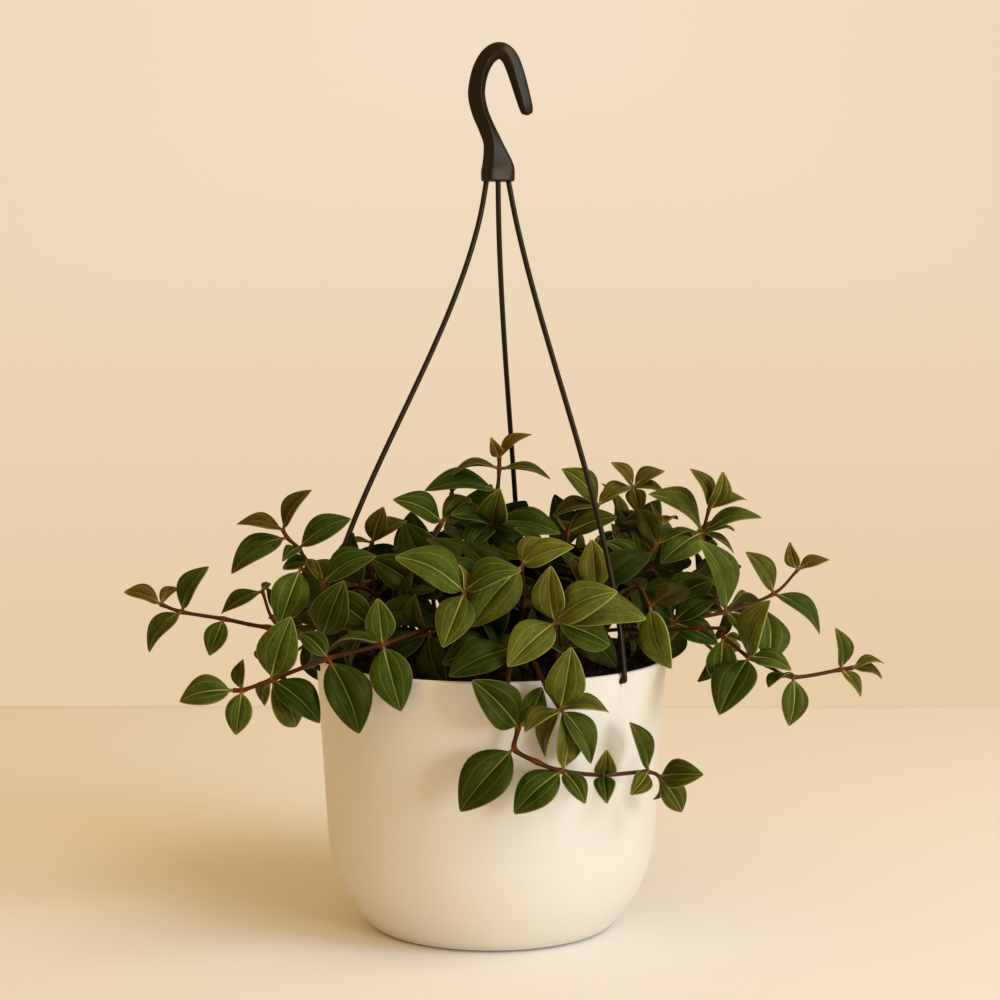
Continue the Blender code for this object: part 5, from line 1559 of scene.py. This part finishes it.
def make_stage(settings):
    """Make the floor, the backdrop's glow, the lights and the camera."""
    scene = bpy.context.scene
    vertices = [(x / MM, y / MM, z / MM) for z in (0.0, -FLOOR_DEPTH)
                for x, y in ((-FLOOR_REACH, -FLOOR_REACH), (FLOOR_REACH, -FLOOR_REACH),
                             (FLOOR_REACH, FLOOR_BACK), (-FLOOR_REACH, FLOOR_BACK))]
    faces = [(0, 1, 2, 3), (7, 6, 5, 4), (0, 4, 5, 1), (1, 5, 6, 2), (2, 6, 7, 3), (3, 7, 4, 0)]
    floor = piece("studio_floor", vertices, faces, floor_material(settings))
    floor.data.shade_flat()

    world = bpy.data.worlds.new("studio_backdrop")
    scene.world = world
    world.use_nodes = True
    tree = world.node_tree
    back = tree.nodes["Background"]
    way = add(tree, "TexCoord").outputs["Generated"]
    across, _, height = add(tree, "SeparateXYZ", {0: way}).outputs
    climb = add(tree, "MapRange", {"Value": height, "From Min": BACKDROP_LOW,
                                   "From Max": BACKDROP_HIGH}).outputs[0]
    sideways = add(tree, "Math", {0: across}, operation="ABSOLUTE").outputs[0]
    most = add(tree, "MapRange", {"Value": sideways, "From Max": BACKDROP_SIDE,
                                  "To Min": BACKDROP_MIDDLE_SHARE, "To Max": BACKDROP_SIDE_SHARE})
    climb = add(tree, "Math", {0: climb, 1: most.outputs[0], 2: BACKDROP_SOFTNESS},
                operation="SMOOTH_MIN").outputs[0]
    seen = add(tree, "Mix", {"Factor": climb, 6: settings.wall_low, 7: settings.wall_high},
               data_type="RGBA").outputs[2]
    ray = add(tree, "LightPath").outputs["Is Camera Ray"]
    tree.links.new(seen, back.inputs["Color"])
    glow = add(tree, "Background", {"Color": settings.glow, "Strength": settings.glow_strength})
    both = add(tree, "MixShader", {0: ray, 1: glow.outputs[0], 2: back.outputs[0]})
    tree.links.new(both.outputs[0], tree.nodes["World Output"].inputs["Surface"])

    for name, place, target, size, power, colour in (
            ("key_light", KEY_PLACE, KEY_TARGET, KEY_SIZE, settings.key_power, settings.key),
            ("fill_light", FILL_PLACE, FILL_TARGET, FILL_SIZE, settings.fill_power, settings.fill),
            ("top_light", TOP_PLACE, TOP_TARGET, TOP_SIZE, settings.top_power, settings.top)):
        light = bpy.data.lights.new(name, "AREA")
        light.shape = "DISK"
        light.size = size
        light.energy = power
        light.color = colour[:3]
        lamp = bpy.data.objects.new(name, light)
        lamp.location = place
        aim(lamp, target)
        lamp.visible_camera = False
        scene.collection.objects.link(lamp)

    lens = bpy.data.cameras.new("camera")
    lens.lens = CAMERA_LENS
    lens.sensor_width = 36.0
    lens.clip_end = 20.0
    camera = bpy.data.objects.new("camera", lens)
    camera.location = CAMERA_PLACE
    camera.rotation_euler = (math.radians(90.0 - CAMERA_PITCH), 0.0, 0.0)
    scene.collection.objects.link(camera)
    scene.camera = camera
    scene.view_settings.view_transform = "Standard"


class PEPEROMIA_OT_make_pot(bpy.types.Operator):
    """Make the moulded pot"""

    bl_idname = "peperomia.make_pot"
    bl_label = "Make Pot"

    def execute(self, context):
        make_pot(context.scene.peperomia_pot)
        return {"FINISHED"}


class PEPEROMIA_OT_make_soil(bpy.types.Operator):
    """Make the potting soil and its crumbs"""

    bl_idname = "peperomia.make_soil"
    bl_label = "Make Soil"

    def execute(self, context):
        make_soil(context.scene.peperomia_soil)
        return {"FINISHED"}


class PEPEROMIA_OT_make_hook(bpy.types.Operator):
    """Make the moulded hook"""

    bl_idname = "peperomia.make_hook"
    bl_label = "Make Hook"

    def execute(self, context):
        make_hook(context.scene.peperomia_hanger)
        return {"FINISHED"}


class PEPEROMIA_OT_make_strands(bpy.types.Operator):
    """Make the three strands between the hook and the pot"""

    bl_idname = "peperomia.make_strands"
    bl_label = "Make Strands"

    def execute(self, context):
        make_strands(context.scene.peperomia_hanger)
        return {"FINISHED"}


class PEPEROMIA_OT_make_stems(bpy.types.Operator):
    """Make every leafy stem"""

    bl_idname = "peperomia.make_stems"
    bl_label = "Make Leafy Stems"

    def execute(self, context):
        make_stems(context.scene.peperomia_plant)
        return {"FINISHED"}


class PEPEROMIA_OT_make_stage(bpy.types.Operator):
    """Make the floor, the backdrop, the lights and the camera"""

    bl_idname = "peperomia.make_stage"
    bl_label = "Make Stage"

    def execute(self, context):
        make_stage(context.scene.peperomia_stage)
        return {"FINISHED"}


class PEPEROMIA_PT_panel(bpy.types.Panel):
    """Lists the settings and the pieces to make"""

    bl_idname = "PEPEROMIA_PT_panel"
    bl_label = "Trailing Peperomia"
    bl_space_type = "VIEW_3D"
    bl_region_type = "UI"
    bl_category = "Peperomia"

    def draw(self, context):
        for group, operators in GROUPS.items():
            box = self.layout.box()
            settings = getattr(context.scene, "peperomia_" + group)
            for name in settings.bl_rna.properties.keys():
                if name not in ("rna_type", "name"):
                    box.prop(settings, name)
            for operator in operators:
                box.operator(operator.bl_idname)


SETTINGS = {"pot": PotSettings, "soil": SoilSettings, "hanger": HangerSettings, "plant": PlantSettings,
            "stage": StageSettings}
GROUPS = {"pot": (PEPEROMIA_OT_make_pot,), "soil": (PEPEROMIA_OT_make_soil,),
          "hanger": (PEPEROMIA_OT_make_hook, PEPEROMIA_OT_make_strands),
          "plant": (PEPEROMIA_OT_make_stems,), "stage": (PEPEROMIA_OT_make_stage,)}
CLASSES = (*SETTINGS.values(), *(kind for kinds in GROUPS.values() for kind in kinds), PEPEROMIA_PT_panel)


def register():
    """Register the settings, the operators and the panel."""
    for kind in CLASSES:
        bpy.utils.register_class(kind)
    for name, kind in SETTINGS.items():
        setattr(bpy.types.Scene, "peperomia_" + name, bpy.props.PointerProperty(type=kind))


def unregister():
    """Remove the settings, the operators and the panel."""
    for name in SETTINGS:
        delattr(bpy.types.Scene, "peperomia_" + name)
    for kind in reversed(CLASSES):
        bpy.utils.unregister_class(kind)


def main():
    """Make the stage and every piece."""
    register()
    bpy.ops.peperomia.make_stage()
    bpy.ops.peperomia.make_pot()
    bpy.ops.peperomia.make_soil()
    bpy.ops.peperomia.make_hook()
    bpy.ops.peperomia.make_strands()
    bpy.ops.peperomia.make_stems()
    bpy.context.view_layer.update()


if __name__ == "__main__":
    main()
